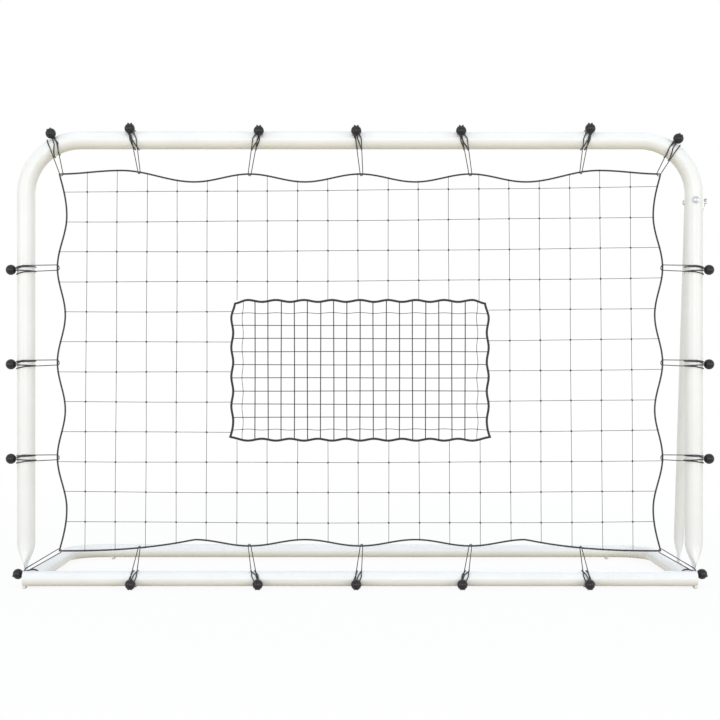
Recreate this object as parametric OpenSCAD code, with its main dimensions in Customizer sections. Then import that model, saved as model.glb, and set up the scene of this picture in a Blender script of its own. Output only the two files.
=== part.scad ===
// Pitch back rebounder: a net on elastic cords in a tilting tube frame,
// hinged on a U-shaped ground frame and held by one strut.
// X is the width, +Y points away from the player, Z is up from the ground.

/* [Net frame] */
// Width over the two posts
frame_w = 1841; // [1500:1:2200]
// Height of the top of the top tube
frame_h = 1220; // [1150:1:1300]
// Outer diameter of the frame tube
post_d = 48; // [44:0.5:52]
// Wall of the frame tube
post_wall = 1.5; // [1:0.1:2.5]
// Centreline radius of the two top bends
frame_bend_r = 146; // [138:1:152]
// Straight tail at each end of a bent tube, up to its joint
tail_l = 90; // [80:1:120]
// Height at which the round post starts to flatten
taper_top = 112; // [105:1:130]
// Height at which the post is fully flat
taper_low = 66; // [62:1:70]
// Height at which the trimmed foot starts to widen
neck_z = 48; // [46:0.5:50]
// Thickness of a flattened tube end
flat_t = 4; // [3:0.1:5]
// Width of the flattened post above its rounded tip
foot_w = 58; // [52:1:62]
// Radius of the rounded tip round the foot bolt
foot_tip_r = 13; // [11:0.5:14]

/* [Base] */
// Distance from the front bar axis to the rear bar axis
base_depth = 570; // [560:1:700]
// Outer diameter of the base tube
base_d = 40; // [38:0.5:42]
// Wall of the base tube
base_wall = 1.5; // [1:0.1:2.5]
// Centreline radius of the two rear bends
base_bend_r = 100; // [80:1:105]
// Height of the base tube axis above the ground
base_z = 25.5; // [25.5:0.5:30]
// Distance from the front bar axis back to the foot bolts
pivot_back = 44; // [43:1:50]
// Length of the stub that the front bar pushes into each side tube
spigot_l = 70; // [60:1:90]
// Width of each foot pad along its tube
pad_w = 8; // [6:1:14]
// Wall of the foot pads round the tube
pad_wall = 6; // [5.5:0.5:8]

/* [Joining sleeves] */
// Length of each inner sleeve
sleeve_l = 120; // [80:1:200]
// Wall of each inner sleeve
sleeve_wall = 1.5; // [1:0.1:2.5]
// Diameter of the screws that lock the tube joints
screw_d = 5; // [4:0.5:6]
// Diameter of the heads of those screws
screw_head_d = 10; // [8:0.5:12]

/* [Strut] */
// Outer diameter of the strut tube
strut_d = 28; // [25:0.5:30]
// Wall of the strut tube
strut_wall = 1.5; // [1:0.1:2.5]
// Depth of the top pivot below the top of the frame
strut_drop = 186; // [181:1:195]
// Distance of the top pivot behind the post axis
strut_behind = 50; // [46:1:54]
// Distance from the front bar axis back to the strut foot, frame upright
strut_foot_back = 238; // [225:1:245]
// Length of tube above the top pivot
strut_end = 22; // [18:1:30]
// Length of the flattened strut foot above its bolt
strut_flat_l = 34; // [30:1:45]
// Length over which the strut flattens
strut_taper_l = 48; // [40:1:60]
// Width of the flattened strut foot
strut_foot_w = 36; // [32:1:40]
// Largest tilt of the frame, in degrees
tilt_max = 7; // [3:0.5:7]

/* [Pivot bracket] */
// Thickness of the bracket's ear and saddle
ear_t = 2.7; // [2:0.1:4]
// Radius of the bracket's ear round the top pivot
ear_r = 17; // [14:0.5:18]
// Height of the bracket where it holds the post
saddle_h = 40; // [36:1:50]

/* [Fasteners] */
// Diameter of the foot, slide and pivot bolts
bolt_d = 8; // [8:0.5:9]
// Width across the corners of the hexagon heads and nuts
hex_w = 15; // [14:0.5:16]
// Thickness of a nut
nut_t = 6; // [5:0.5:7]
// Outer diameter of a washer
washer_d = 18; // [16:0.5:20]
// Thickness of a washer
washer_t = 1.6; // [1:0.1:2]
// Diameter of the round heads of the foot bolts and the pivot bolt
round_head_d = 16; // [14:0.5:17]
// Height of those round heads
round_head_h = 4; // [3:0.5:5]
// Diameter of the round head of the bracket screw
pan_d = 18; // [15:0.5:20]
// Span over the wings of the wing nut
wing_span = 34; // [28:1:40]
// Height of the wings along the bolt
wing_h = 13; // [10:0.5:14]

/* [Net] */
// Distance from each post to the net's border cord
side_gap = 70.5; // [60:0.5:90]
// Distance from the top tube down to the border cord
top_gap = 70; // [60:0.5:90]
// Distance from the front bar up to the border cord
bottom_gap = 51.5; // [45:0.5:70]
// Width of the border cord
border_d = 5; // [4:0.5:6]
// How far the border is drawn out at each elastic
border_wave = 21; // [10:1:24]
// How much deeper the border runs in near the corners, up the sides
corner_wave = 4; // [0:0.5:8]
// Distance from an upper corner to the highest point of the border
crest_reach = 165; // [140:1:185]
// Height of that point above the corner
crest_rise = 9.5; // [0:0.5:16]
// Height of the lower border over its corners, at the elastics
bottom_rise = 13; // [0:0.5:16]
// How far the lower border is drawn out at each elastic
bottom_wave = 17; // [10:1:24]
// Mesh of the net from line to line, across
mesh_x = 80.5; // [78:0.5:82]
// Mesh of the net from line to line, up
mesh_z = 80.1; // [78:0.1:81]
// Thickness of the net's twine
twine_d = 2; // [1.5:0.1:3]

/* [Target] */
// Width over the target's border
target_w = 692; // [640:1:720]
// Height over the target's border
target_h = 381; // [350:1:400]
// Depth of the target's middle below the net's middle
target_drop = 21; // [0:0.5:60]
// Mesh of the target
target_mesh = 35; // [30:0.5:36]
// Thickness of the target's twine
target_twine = 3; // [2:0.1:3.5]
// Width of the target's border cord
target_border_d = 6; // [5:0.5:7]
// Depth of the small waves in the target's border
target_wave = 5; // [2:0.5:8]
// Distance between the crests along the target's top and bottom
target_pitch = 74.7; // [70:0.1:80]
// Distance between the bulges up the target's sides
target_side_pitch = 78.2; // [74:0.1:82]
// How far the target's corners lie in from its top and bottom
target_corner = 9.6; // [4:0.1:12]
// How far the target's lower corners are drawn out sideways
target_flare = 4.5; // [0:0.5:6]

/* [Ball elastics] */
// Diameter of the elastic cord
cord_d = 4; // [3:0.1:4]
// Diameter of a ball
ball_d = 28; // [27:0.5:30]
// Distance from a corner of the net to the next elastic along the top or the bottom
corner_reach_x = 213; // [190:0.5:240]
// Distance from a corner of the net to the next elastic up a side
corner_reach_z = 249.5; // [220:0.5:270]
// Place of the corner elastic round the left bend, in degrees from upright
corner_left_a = 25; // [24:1:36]
// Place of the corner elastic round the right bend, in degrees from upright
corner_right_a = 34; // [24:1:36]

/* [Fits] */
// Gap between a bolt and a hole that turns on it, on the diameter
running_gap = 0.2; // [0.1:0.05:0.3]
// Gap between tubes that slide into each other, on the diameter
slide_gap = 0.4; // [0.2:0.1:0.8]
// Gap between faces of pieces that move past each other
face_gap = 0.3; // [0.2:0.05:0.5]
// Play of the slide bolt in the height of its slot
slot_play = 2.6; // [2.2:0.1:3]

/* [Hidden] */

post_r = post_d / 2;
base_r = base_d / 2;
cord_r = cord_d / 2;
ball_r = ball_d / 2;
post_x = frame_w / 2 - post_r;
// The pressed feet stand midway under the posts, against the side tubes
base_w = frame_w - post_d - flat_t - 2 * face_gap;
side_x = base_w / 2 - base_r;
top_z = frame_h - post_r;
bend_x = post_x - frame_bend_r;
bend_z = top_z - frame_bend_r;
post_joint_z = bend_z - tail_l;
top_joint_x = bend_x - tail_l;

// The elastics run round a tube at this distance from its axis. Their rings are
// up to 30 degrees apart, and the straight between two rings still clears it.
arc_steps = 13;
ring_gap_a = 30;
frame_orbit = (post_r + cord_r + face_gap) / cos(ring_gap_a / 2);
base_orbit = (base_r + cord_r + face_gap) / cos(ring_gap_a / 2);
frame_ball_orbit = post_r + ball_r + 1.9;
base_ball_orbit = base_r + ball_r + 1.8;
// Angles of the balls round the tubes, from the front towards the outer side
top_ball_a = 31;
outer_ball_a = 43;
bend_ball_a = 52;
side_ball_a = 74;
bottom_ball_a = asin((base_z - ball_r - 0.6) / base_ball_orbit);
corner_ball_a = 76;

front_reach = base_ball_orbit * cos(bottom_ball_a) + ball_r;
bar_y = -(base_depth + base_r - front_reach) / 2;
rear_y = bar_y + base_depth;
post_y = bar_y + pivot_back;
net_y = post_y - frame_orbit;
rear_bend_y = rear_y - base_bend_r;
rear_bend_x = side_x - base_bend_r;
rear_joint_x = rear_bend_x - tail_l;

// The flattened feet lie against the outer faces of the side tubes
foot_x = side_x + base_r + face_gap;
pivot_y = post_y + strut_behind;
strut_top_z = frame_h - strut_drop;
foot_y = bar_y + strut_foot_back;
strut_run = foot_y - pivot_y;
strut_rise = strut_top_z - base_z;
strut_l = norm([strut_run, strut_rise]);
strut_a = atan(strut_run / strut_rise);
pivot_arm = norm([strut_behind, strut_rise]);
pivot_a = atan(strut_behind / strut_rise);
tilted_z = pivot_arm * cos(pivot_a + tilt_max);
tilted_y = pivot_arm * sin(pivot_a + tilt_max);
slide_travel = tilted_y + sqrt(strut_l * strut_l - tilted_z * tilted_z) - strut_behind - strut_run;
slot_end_gap = 2;

ear_in = post_r + face_gap;
ear_out = ear_in + ear_t;
bore_d = bolt_d + running_gap;
fixed_bore_d = bolt_d + slide_gap;

net_w = frame_w - 2 * (post_d + side_gap);
net_low = base_z + base_r + bottom_gap;
net_high = frame_h - post_d - top_gap;
net_mid_z = (net_low + net_high) / 2;
net_half_h = (net_high - net_low) / 2;
net_half_w = net_w / 2;
hook_x = (net_half_w - corner_reach_x) / 2;
hook_z = net_half_h - corner_reach_z;
lines_x = floor(net_w / mesh_x);
lines_z = floor((net_high - net_low) / mesh_z);
target_z = net_mid_z - target_drop;
outer_trough_x = 1.5 * hook_x;
crest_x = net_half_w - crest_reach;
side_lift = 5;
side_reach = net_half_w + side_lift;
side_trough_z = hook_z + 138;
// The upright lines sit a little to one side of the middle elastic
mesh_shift = -4.5;
row_shift = 17;
middle_hook = 4;
wave_steps = 8;

powder_white = [0.93, 0.94, 0.95];
zinc = [0.72, 0.73, 0.75];
plastic_black = [0.06, 0.06, 0.065];
cord_black = [0.05, 0.05, 0.055];
twine_grey = [0.16, 0.17, 0.17];
pad_grey = [0.85, 0.85, 0.84];

// ---------------------------------------------------------------- basic shapes

// A rod along X, from x0 to x1
module rod_x(d, x0, x1) {
    translate([x0, 0, 0]) rotate([0, 90, 0]) cylinder(d = d, h = x1 - x0, $fn = 64);
}

// A rod along Y, from y0 to y1
module rod_y(d, y0, y1) {
    translate([0, y0, 0]) rotate([-90, 0, 0]) cylinder(d = d, h = y1 - y0, $fn = 64);
}

module tube_x(d, wall, x0, x1) {
    difference() {
        rod_x(d, x0, x1);
        rod_x(d - 2 * wall, x0 - 1, x1 + 1);
    }
}

module tube_y(d, wall, y0, y1) {
    difference() {
        rod_y(d, y0, y1);
        rod_y(d - 2 * wall, y0 - 1, y1 + 1);
    }
}

module tube_z(d, wall, z0, z1) {
    translate([0, 0, z0]) difference() {
        cylinder(d = d, h = z1 - z0, $fn = 64);
        translate([0, 0, -1]) cylinder(d = d - 2 * wall, h = z1 - z0 + 2, $fn = 64);
    }
}

// A quarter bend about Z that starts on +X and ends on +Y
module bend(d, wall, r) {
    rotate_extrude(angle = 90, $fn = 96) translate([r, 0]) difference() {
        circle(d = d, $fn = 64);
        circle(d = d - 2 * wall, $fn = 64);
    }
}

// A hexagon bar along X
module hex_x(x0, x1) {
    translate([x0, 0, 0]) rotate([0, 90, 0]) cylinder(d = hex_w, h = x1 - x0, $fn = 6);
}

// A low round bolt head that stands on its flat side
module round_head() {
    cylinder(d1 = round_head_d, d2 = 0.7 * round_head_d, h = round_head_h, $fn = 48);
}

module both_sides() {
    children();
    mirror([1, 0, 0]) children();
}

// ---------------------------------------------------------------- base

module base_front_bar() {
    color(powder_white) translate([0, bar_y, base_z])
        tube_x(base_d, base_wall, -base_w / 2, base_w / 2);
}

// Stubs on the back of the front bar, inside the side tubes
module base_spigots() {
    weld_gap = 0.1;
    color(powder_white) both_sides() difference() {
        translate([side_x, 0, base_z])
            tube_y(base_d - 2 * base_wall - slide_gap, base_wall, bar_y, bar_y + spigot_l);
        translate([0, bar_y, base_z]) rod_x(base_d + weld_gap, 0, base_w);
        foot_bore();
    }
}

// Hole for a foot bolt through the side tube and the spigot inside it
module foot_bore() {
    translate([0, post_y, base_z]) rod_x(fixed_bore_d, side_x - base_r - 1, side_x + base_r + 1);
}

// Side tube, fish-mouthed against the front bar, with the rear bend and its tail
module side_tube() {
    difference() {
        translate([side_x, 0, base_z]) tube_y(base_d, base_wall, bar_y, rear_bend_y);
        translate([0, bar_y, base_z]) rod_x(base_d + slide_gap, 0, base_w);
        foot_bore();
    }
    translate([rear_bend_x, rear_bend_y, base_z]) bend(base_d, base_wall, base_bend_r);
    translate([0, rear_y, base_z]) tube_x(base_d, base_wall, rear_joint_x, rear_bend_x);
}

module base_side_left() {
    color(powder_white) mirror([1, 0, 0]) side_tube();
}

module base_side_right() {
    color(powder_white) difference() {
        side_tube();
        slide_slot();
    }
}

// Slot in the outer wall for the strut's slide bolt
module slide_slot() {
    slot_h = bolt_d + slot_play;
    y0 = foot_y - slot_end_gap;
    y1 = foot_y + slide_travel + slot_end_gap;
    translate([0, y0, base_z]) rod_x(slot_h, side_x, side_x + base_d);
    translate([0, y1, base_z]) rod_x(slot_h, side_x, side_x + base_d);
    translate([side_x, y0, base_z - slot_h / 2]) cube([base_d, y1 - y0, slot_h]);
}

module base_rear_bar() {
    color(powder_white) translate([0, rear_y, base_z])
        tube_x(base_d, base_wall, -rear_joint_x, rear_joint_x);
}

// Sleeves inside the two joints of the rear bar
module base_sleeves() {
    d = base_d - 2 * base_wall - slide_gap;
    color(zinc) both_sides() translate([0, rear_y, base_z])
        tube_x(d, sleeve_wall, rear_joint_x - sleeve_l / 2, rear_joint_x + sleeve_l / 2);
}

module base_end_plugs() {
    plug_l = 14;
    color(pad_grey) both_sides() translate([0, bar_y, base_z])
        rod_x(base_d - 2 * base_wall - slide_gap, base_w / 2 - plug_l, base_w / 2);
}

// A pad under a tube along X: a part ring cut flat at the ground
module foot_pad(x0, y) {
    d = base_d + slide_gap;
    intersection() {
        translate([0, y, base_z]) difference() {
            rod_x(d + 2 * pad_wall, x0, x0 + pad_w);
            rod_x(d, x0 - 1, x0 + pad_w + 1);
        }
        translate([x0 - 1, y - base_r * 0.55, 0]) cube([pad_w + 2, base_r * 1.1, base_z]);
    }
}

module front_feet() {
    color(pad_grey) both_sides() foot_pad(base_w / 2 - pad_w, bar_y);
}

module rear_feet() {
    bend_room = 20;
    color(pad_grey) both_sides() foot_pad(rear_bend_x - pad_w - bend_room, rear_y);
}

// ---------------------------------------------------------------- base fasteners

foot_head_x = foot_x + flat_t + face_gap + washer_t;
foot_nut_x = side_x - base_r - face_gap;

module foot_bolts() {
    color(zinc) both_sides() translate([0, post_y, base_z]) {
        rod_x(bolt_d, foot_nut_x - nut_t - 2, foot_head_x + 1);
        translate([foot_head_x, 0, 0]) rotate([0, 90, 0]) round_head();
    }
}

module foot_washers() {
    color(zinc) both_sides() translate([0, post_y, base_z])
        tube_x(washer_d, (washer_d - bore_d) / 2, foot_x + flat_t + face_gap, foot_head_x);
}

module foot_nuts() {
    color(zinc) both_sides() translate([0, post_y, base_z]) difference() {
        hex_x(foot_nut_x - nut_t, foot_nut_x);
        rod_x(bore_d, foot_nut_x - nut_t - 1, foot_nut_x + 1);
    }
}

// The strut's slide bolt: its round head is caught inside the side tube
slide_head_d = 16;
slide_head_t = 4;
slide_head_x = side_x + sqrt(pow(base_r - base_wall, 2) - pow((slide_head_d + slot_play) / 2, 2))
    - face_gap;
slide_nut_x = foot_x + flat_t + face_gap;

module slide_bolt() {
    color(zinc) translate([0, foot_y, base_z]) {
        rod_x(slide_head_d, slide_head_x - slide_head_t, slide_head_x);
        rod_x(bolt_d, slide_head_x - 1, slide_nut_x + washer_t + nut_t + 1.5);
    }
}

module slide_nut() {
    color(zinc) translate([0, foot_y, base_z]) difference() {
        union() {
            rod_x(washer_d, slide_nut_x, slide_nut_x + washer_t);
            hex_x(slide_nut_x + washer_t, slide_nut_x + washer_t + nut_t);
        }
        rod_x(bore_d, slide_nut_x - 1, slide_nut_x + washer_t + nut_t + 1);
    }
}

// ---------------------------------------------------------------- net frame

// Post with its lower end pressed flat against the side tube
module post() {
    difference() {
        union() {
            translate([post_x, post_y, 0]) tube_z(post_d, post_wall, taper_top + flat_t, post_joint_z);
            translate([post_x, post_y, taper_top]) cylinder(d = post_d, h = flat_t + 2, $fn = 64);
            translate([0, post_y, 0]) pressed(post_d, taper_low, taper_top, foot_w);
            translate([foot_x, post_y, 0]) rotate([90, 0, 90])
                linear_extrude(height = flat_t) foot_outline();
        }
        translate([0, post_y, base_z]) rod_x(bore_d, foot_x - 1, foot_x + flat_t + 1);
    }
}

// The stretch where a tube of diameter d goes from flat, at low, to round, at top
module pressed(d, low, top, wide) {
    inset = 0.4;
    slice = 0.5;
    hull() {
        translate([post_x, 0, top - slice]) cylinder(d = d - inset, h = slice, $fn = 40);
        translate([foot_x + inset / 2, -wide / 2 + inset, low])
            cube([flat_t - inset, wide - 2 * inset, slice]);
    }
}

// Side view of the flattened foot: a round tip at the bolt, a neck, and full width above
module foot_outline() {
    neck_in = 1;
    neck_half_w = foot_tip_r - neck_in;
    translate([0, base_z]) circle(r = foot_tip_r, $fn = 64);
    polygon([[-neck_half_w, base_z], [neck_half_w, base_z], [neck_half_w, neck_z],
        [foot_w / 2, taper_low], [-foot_w / 2, taper_low], [-neck_half_w, neck_z]]);
}

module post_left() {
    color(powder_white) mirror([1, 0, 0]) post();
}

module post_right() {
    color(powder_white) post();
}

module top_bend() {
    translate([bend_x, post_y, bend_z]) rotate([90, 0, 0]) bend(post_d, post_wall, frame_bend_r);
    translate([post_x, post_y, 0]) tube_z(post_d, post_wall, post_joint_z, bend_z);
    translate([0, post_y, top_z]) tube_x(post_d, post_wall, top_joint_x, bend_x);
}

module top_bend_left() {
    color(powder_white) mirror([1, 0, 0]) top_bend();
}

module top_bend_right() {
    color(powder_white) difference() {
        top_bend();
        translate([post_x, 0, strut_top_z]) rod_y(fixed_bore_d, post_y - post_d, post_y + post_d);
    }
}

module top_bar() {
    color(powder_white) translate([0, post_y, top_z]) tube_x(post_d, post_wall, -top_joint_x, top_joint_x);
}

module frame_sleeves() {
    d = post_d - 2 * post_wall - slide_gap;
    half = sleeve_l / 2;
    color(zinc) both_sides() {
        translate([post_x, post_y, 0]) tube_z(d, sleeve_wall, post_joint_z - half, post_joint_z + half);
        translate([0, post_y, top_z]) tube_x(d, sleeve_wall, top_joint_x - half, top_joint_x + half);
    }
}

// Screw heads on the back of the joints of the frame
module joint_screws() {
    below = sleeve_l / 4;
    color(zinc) both_sides() {
        translate([post_x, post_y + post_r + 0.2, post_joint_z - below]) screw_head();
        translate([top_joint_x - below, post_y + post_r + 0.2, top_z]) screw_head();
    }
}

module screw_head() {
    rotate([-90, 0, 0]) cylinder(d1 = screw_head_d, d2 = screw_d, h = 2.8, $fn = 48);
}

// ---------------------------------------------------------------- top pivot

// Saddle on the back of the post, with one ear that carries the pivot bolt
module pivot_bracket() {
    color(zinc) difference() {
        intersection() {
            translate([post_x, post_y, strut_top_z - saddle_h])
                linear_extrude(height = 2 * saddle_h) bracket_plan();
            translate([0, post_y, strut_top_z]) rotate([90, 0, 90])
                linear_extrude(height = frame_w) bracket_side();
        }
        translate([0, pivot_y, strut_top_z]) rod_x(bore_d, post_x - post_d, post_x + post_d);
        translate([post_x, 0, strut_top_z]) rod_y(fixed_bore_d, post_y, post_y + post_d);
    }
}

module bracket_plan() {
    difference() {
        union() {
            circle(r = ear_out, $fn = 96);
            translate([ear_in, 0]) square([ear_t, strut_behind + ear_r + 1]);
        }
        circle(r = ear_in, $fn = 96);
        translate([-frame_w, -frame_w]) square([2 * frame_w, frame_w]);
        translate([-frame_w, -1]) square([frame_w - 0.6 * post_r, frame_w]);
    }
}

// Side view of the bracket, with the pivot bolt's ear behind and a sloping lower edge
module bracket_side() {
    half = saddle_h / 2;
    ear_tip = [for (a = [90:-10:-90]) [strut_behind + ear_r * cos(a), ear_r * sin(a)]];
    polygon(concat([[0, -half], [0, half], [post_r, half]], ear_tip,
        [[post_r + 8, -half - 14], [post_r - 4, -half - 14]]));
}

pan_y = post_y - post_r - 0.3;
saddle_nut_y = post_y + ear_out + 0.2;
saddle_nut_t = 4;

// Round-headed screw from the front of the post through the saddle
module bracket_screw() {
    color(zinc) translate([post_x, 0, strut_top_z]) difference() {
        union() {
            rod_y(bolt_d, pan_y - 0.5, saddle_nut_y + saddle_nut_t + 1);
            translate([0, pan_y, 0]) rotate([90, 0, 0]) intersection() {
                cylinder(d = pan_d, h = 5, $fn = 64);
                translate([0, 0, 5 - pan_d]) sphere(d = 2 * pan_d, $fn = 64);
            }
        }
        for (turn = [0, 90])
            translate([0, pan_y - 5, 0]) rotate([0, turn + 20, 0]) cube([7, 3, 1.6], center = true);
    }
}

module bracket_nut() {
    color(zinc) translate([post_x, 0, strut_top_z]) difference() {
        rotate([-90, 0, 0]) translate([0, 0, saddle_nut_y]) cylinder(d = hex_w, h = saddle_nut_t, $fn = 6);
        rod_y(bore_d, saddle_nut_y - 1, saddle_nut_y + saddle_nut_t + 1);
    }
}

pivot_head_x = post_x - strut_d / 2 - face_gap;
pivot_washer_x = post_x + ear_out + face_gap;
wing_x = pivot_washer_x + 2 * washer_t + face_gap;

module pivot_bolt() {
    color(zinc) translate([0, pivot_y, strut_top_z]) {
        rod_x(bolt_d, pivot_head_x - 1, wing_x + wing_h + 2);
        translate([pivot_head_x, 0, 0]) rotate([0, -90, 0]) round_head();
    }
}

module pivot_washer() {
    color(zinc) translate([0, pivot_y, strut_top_z])
        tube_x(washer_d, (washer_d - bore_d) / 2, pivot_washer_x, pivot_washer_x + 2 * washer_t);
}

// Spacer that keeps the strut off the bracket's ear
module strut_spacer() {
    color(plastic_black) translate([post_x, pivot_y, strut_top_z])
        tube_x(washer_d, (washer_d - bore_d) / 2, strut_d / 2 + face_gap, ear_in - face_gap);
}

// Wing nut: a hub with two flat wings that lean outwards
module wing_nut() {
    hub_h = 8;
    color(zinc) translate([wing_x, pivot_y, strut_top_z]) rotate([58, 0, 0]) difference() {
        union() {
            rotate([0, 90, 0]) cylinder(d1 = 15, d2 = 12, h = hub_h, $fn = 48);
            rotate([90, 0, 0]) translate([0, 0, -1.6]) linear_extrude(height = 3.2) {
                wing_outline();
                mirror([0, 1]) wing_outline();
            }
        }
        rod_x(bore_d, -1, wing_h + 5);
    }
}

module wing_outline() {
    tip = wing_span / 2;
    polygon([[1.5, 5], [7, 5], [wing_h, tip - 6], [wing_h, tip - 1], [wing_h - 3, tip],
        [5, tip - 4], [1.5, 7]]);
}

// ---------------------------------------------------------------- strut

// The strut in its own frame: Z along it, up from the slide bolt
module in_strut() {
    translate([0, foot_y, base_z]) rotate([strut_a, 0, 0]) children();
}

module strut() {
    round_z = strut_flat_l + strut_taper_l;
    color(powder_white) difference() {
        in_strut() {
            translate([post_x, 0, 0]) tube_z(strut_d, strut_wall, round_z + flat_t, strut_l + strut_end);
            translate([post_x, 0, round_z]) cylinder(d = strut_d, h = flat_t + 2, $fn = 64);
            pressed(strut_d, strut_flat_l, round_z, strut_foot_w);
            translate([foot_x, 0, 0]) rotate([90, 0, 90])
                linear_extrude(height = flat_t) strut_foot_outline();
        }
        translate([0, foot_y, base_z]) rod_x(bore_d, foot_x - 1, foot_x + flat_t + 1);
        translate([0, pivot_y, strut_top_z]) rod_x(bore_d, post_x - strut_d, post_x + strut_d);
    }
}

module strut_foot_outline() {
    circle(r = foot_tip_r, $fn = 64);
    half = strut_foot_w / 2;
    polygon([[1 - foot_tip_r, 0], [foot_tip_r - 1, 0], [half, strut_flat_l], [-half, strut_flat_l]]);
}

// Plug in the open top of the strut
module strut_cap() {
    color(plastic_black) in_strut() translate([post_x, 0, strut_l + strut_end]) {
        translate([0, 0, -10]) cylinder(d = strut_d - 2 * strut_wall - slide_gap, h = 10.2, $fn = 64);
        translate([0, 0, 0.1]) cylinder(d1 = strut_d, d2 = strut_d - 3, h = 2.5, $fn = 64);
    }
}

// ---------------------------------------------------------------- net

// Height of the border's middle line above a point of the top or bottom edge:
// drawn out at every elastic and slack between them
function pulled(t, pitch, reach) = abs(t) > reach ? 0 : border_wave * (1 - cos(360 * t / pitch)) / 2;

function top_line(x) = abs(x) <= outer_trough_x
    ? net_high - pulled(x, hook_x, outer_trough_x)
    : abs(x) < crest_x
        ? net_high - border_wave + (border_wave + crest_rise) * swell(abs(x), outer_trough_x, crest_x)
        : net_high + crest_rise * (1 - swell(abs(x), crest_x, net_half_w));
function bottom_line(x) = abs(x) <= outer_trough_x
    ? net_low + bottom_rise + bottom_wave * (1 - cos(360 * x / hook_x)) / 2
    : net_low + (bottom_rise + bottom_wave)
        * pow((net_half_w - abs(x)) / (net_half_w - outer_trough_x), 2.5);
function side_line(h) = abs(h) <= hook_z
    ? side_reach - pulled(h, hook_z, hook_z)
    : abs(h) < side_trough_z
        ? side_reach - (border_wave + corner_wave) * swell(abs(h), hook_z, side_trough_z)
        : net_half_w - (border_wave + corner_wave - side_lift)
            * cos(90 * (abs(h) - side_trough_z) / (net_half_h - side_trough_z));

// Runs smoothly from 0 at a to 1 at b
function swell(t, a, b) = (1 - cos(180 * (t - a) / (b - a))) / 2;

function steps(a, b, n) = [for (i = [0:n - 1]) a + (b - a) * i / n];

top_steps = 6 * wave_steps;
side_steps = 4 * wave_steps;

// Outline of the net, shifted outwards by off
function net_outline(off) = concat(
    [for (x = steps(-net_half_w, net_half_w, top_steps))
        [x - (x == -net_half_w ? off : 0), top_line(x) + off]],
    [for (h = steps(net_half_h, -net_half_h, side_steps))
        [side_line(h) + off, net_mid_z + h + (h == net_half_h ? off : 0)]],
    [for (x = steps(net_half_w, -net_half_w, top_steps))
        [x + (x == net_half_w ? off : 0), bottom_line(x) - off]],
    [for (h = steps(-net_half_h, net_half_h, side_steps))
        [-side_line(h) - off, net_mid_z + h - (h == -net_half_h ? off : 0)]]);

// A flat shape drawn in X and Z, from the plane y towards the back
module upright(y, t) {
    translate([0, y + t, 0]) rotate([90, 0, 0]) linear_extrude(height = t) children();
}

// The net's lines end at the target, which fills its middle
module net() {
    color(twine_grey) upright(net_y - twine_d / 2, twine_d) intersection() {
        difference() {
            polygon(net_outline(-border_d / 2));
            translate([0, target_z]) polygon(target_outline(-target_border_d / 2));
        }
        union() {
            for (i = [0:lines_x - 1])
                translate([mesh_shift + (i - (lines_x - 1) / 2) * mesh_x - twine_d / 2, 0])
                    square([twine_d, frame_h]);
            for (i = [0:lines_z - 1])
                translate([-net_w, net_mid_z + row_shift + (i - (lines_z - 1) / 2) * mesh_z - twine_d / 2])
                    square([2 * net_w, twine_d]);
        }
    }
}

module net_border() {
    color(cord_black) upright(net_y - border_d / 2, border_d) difference() {
        polygon(net_outline(border_d / 2));
        polygon(net_outline(-border_d / 2));
    }
}

// ---------------------------------------------------------------- target

target_x_lines = floor(target_w / target_mesh);
target_z_lines = floor(target_h / target_mesh);
target_t = 3;
target_y = net_y - twine_d / 2 - 0.3 - target_t;
target_half_w = target_w / 2;
target_half_h = target_h / 2;
target_steps = 60;

// The last crest of the top, and of the bottom, before the corners
last_crest = target_pitch * floor((target_half_w - target_corner) / target_pitch);
corner_height = target_half_h - target_corner;
first_bulge = 41.6;
last_trough = first_bulge + 3.5 * target_side_pitch;

function small_wave(t, pitch) = target_wave * (1 - cos(360 * t / pitch)) / 2;

// Height of the target's top above its middle, and depth of its bottom below it
function target_edge(x, corner_x) = abs(x) <= last_crest
    ? target_half_h - small_wave(x, target_pitch)
    : target_half_h - target_corner * swell(abs(x), last_crest, corner_x);

// Half width of the target at a distance below its upper corners
function target_side(t) = t < first_bulge
    ? target_half_w - target_corner * (1 - swell(t, 0, first_bulge))
    : t < last_trough
        ? target_half_w - small_wave(t - first_bulge, target_side_pitch)
        : target_half_w - target_wave + (target_wave + target_flare)
            * pow((t - last_trough) / (2 * corner_height - last_trough), 2);

function target_outline(off) =
    let (top_x = target_half_w - target_corner, low_x = target_half_w + target_flare, z = corner_height)
    concat(
        [for (x = steps(-top_x, top_x, target_steps))
            [x - (x == -top_x ? off : 0), target_edge(x, top_x) + off]],
        [for (t = steps(0, 2 * z, target_steps / 2)) [target_side(t) + off, z - t + (t == 0 ? off : 0)]],
        [for (x = steps(low_x, -low_x, target_steps))
            [x + (x == low_x ? off : 0), -target_edge(x, low_x) - off]],
        [for (t = steps(2 * z, 0, target_steps / 2))
            [-target_side(t) - off, z - t - (t == 2 * z ? off : 0)]]);

module target_net() {
    color(twine_grey) upright(target_y, target_t) translate([0, target_z]) intersection() {
        polygon(target_outline(-target_border_d));
        union() {
            for (i = [0:target_x_lines - 1])
                translate([(i - (target_x_lines - 1) / 2) * target_mesh - target_twine / 2, -target_h])
                    square([target_twine, 2 * target_h]);
            for (i = [0:target_z_lines - 1])
                translate([-target_w, (i - (target_z_lines - 1) / 2) * target_mesh - 1.5 * target_twine])
                    square([2 * target_w, target_twine]);
        }
    }
}

module target_border() {
    color(cord_black) upright(target_y, target_t) translate([0, target_z]) difference() {
        polygon(target_outline(0));
        polygon(target_outline(-target_border_d));
    }
}

// ---------------------------------------------------------------- ball elastics
// Each elastic is one loop. Both of its strands start in the ball, run once
// round the tube and on to the net, where the loop's end goes round the border.
// Its own frame is centred on the tube beside the ball: u along the tube,
// f towards the front and o away from the net.

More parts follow.
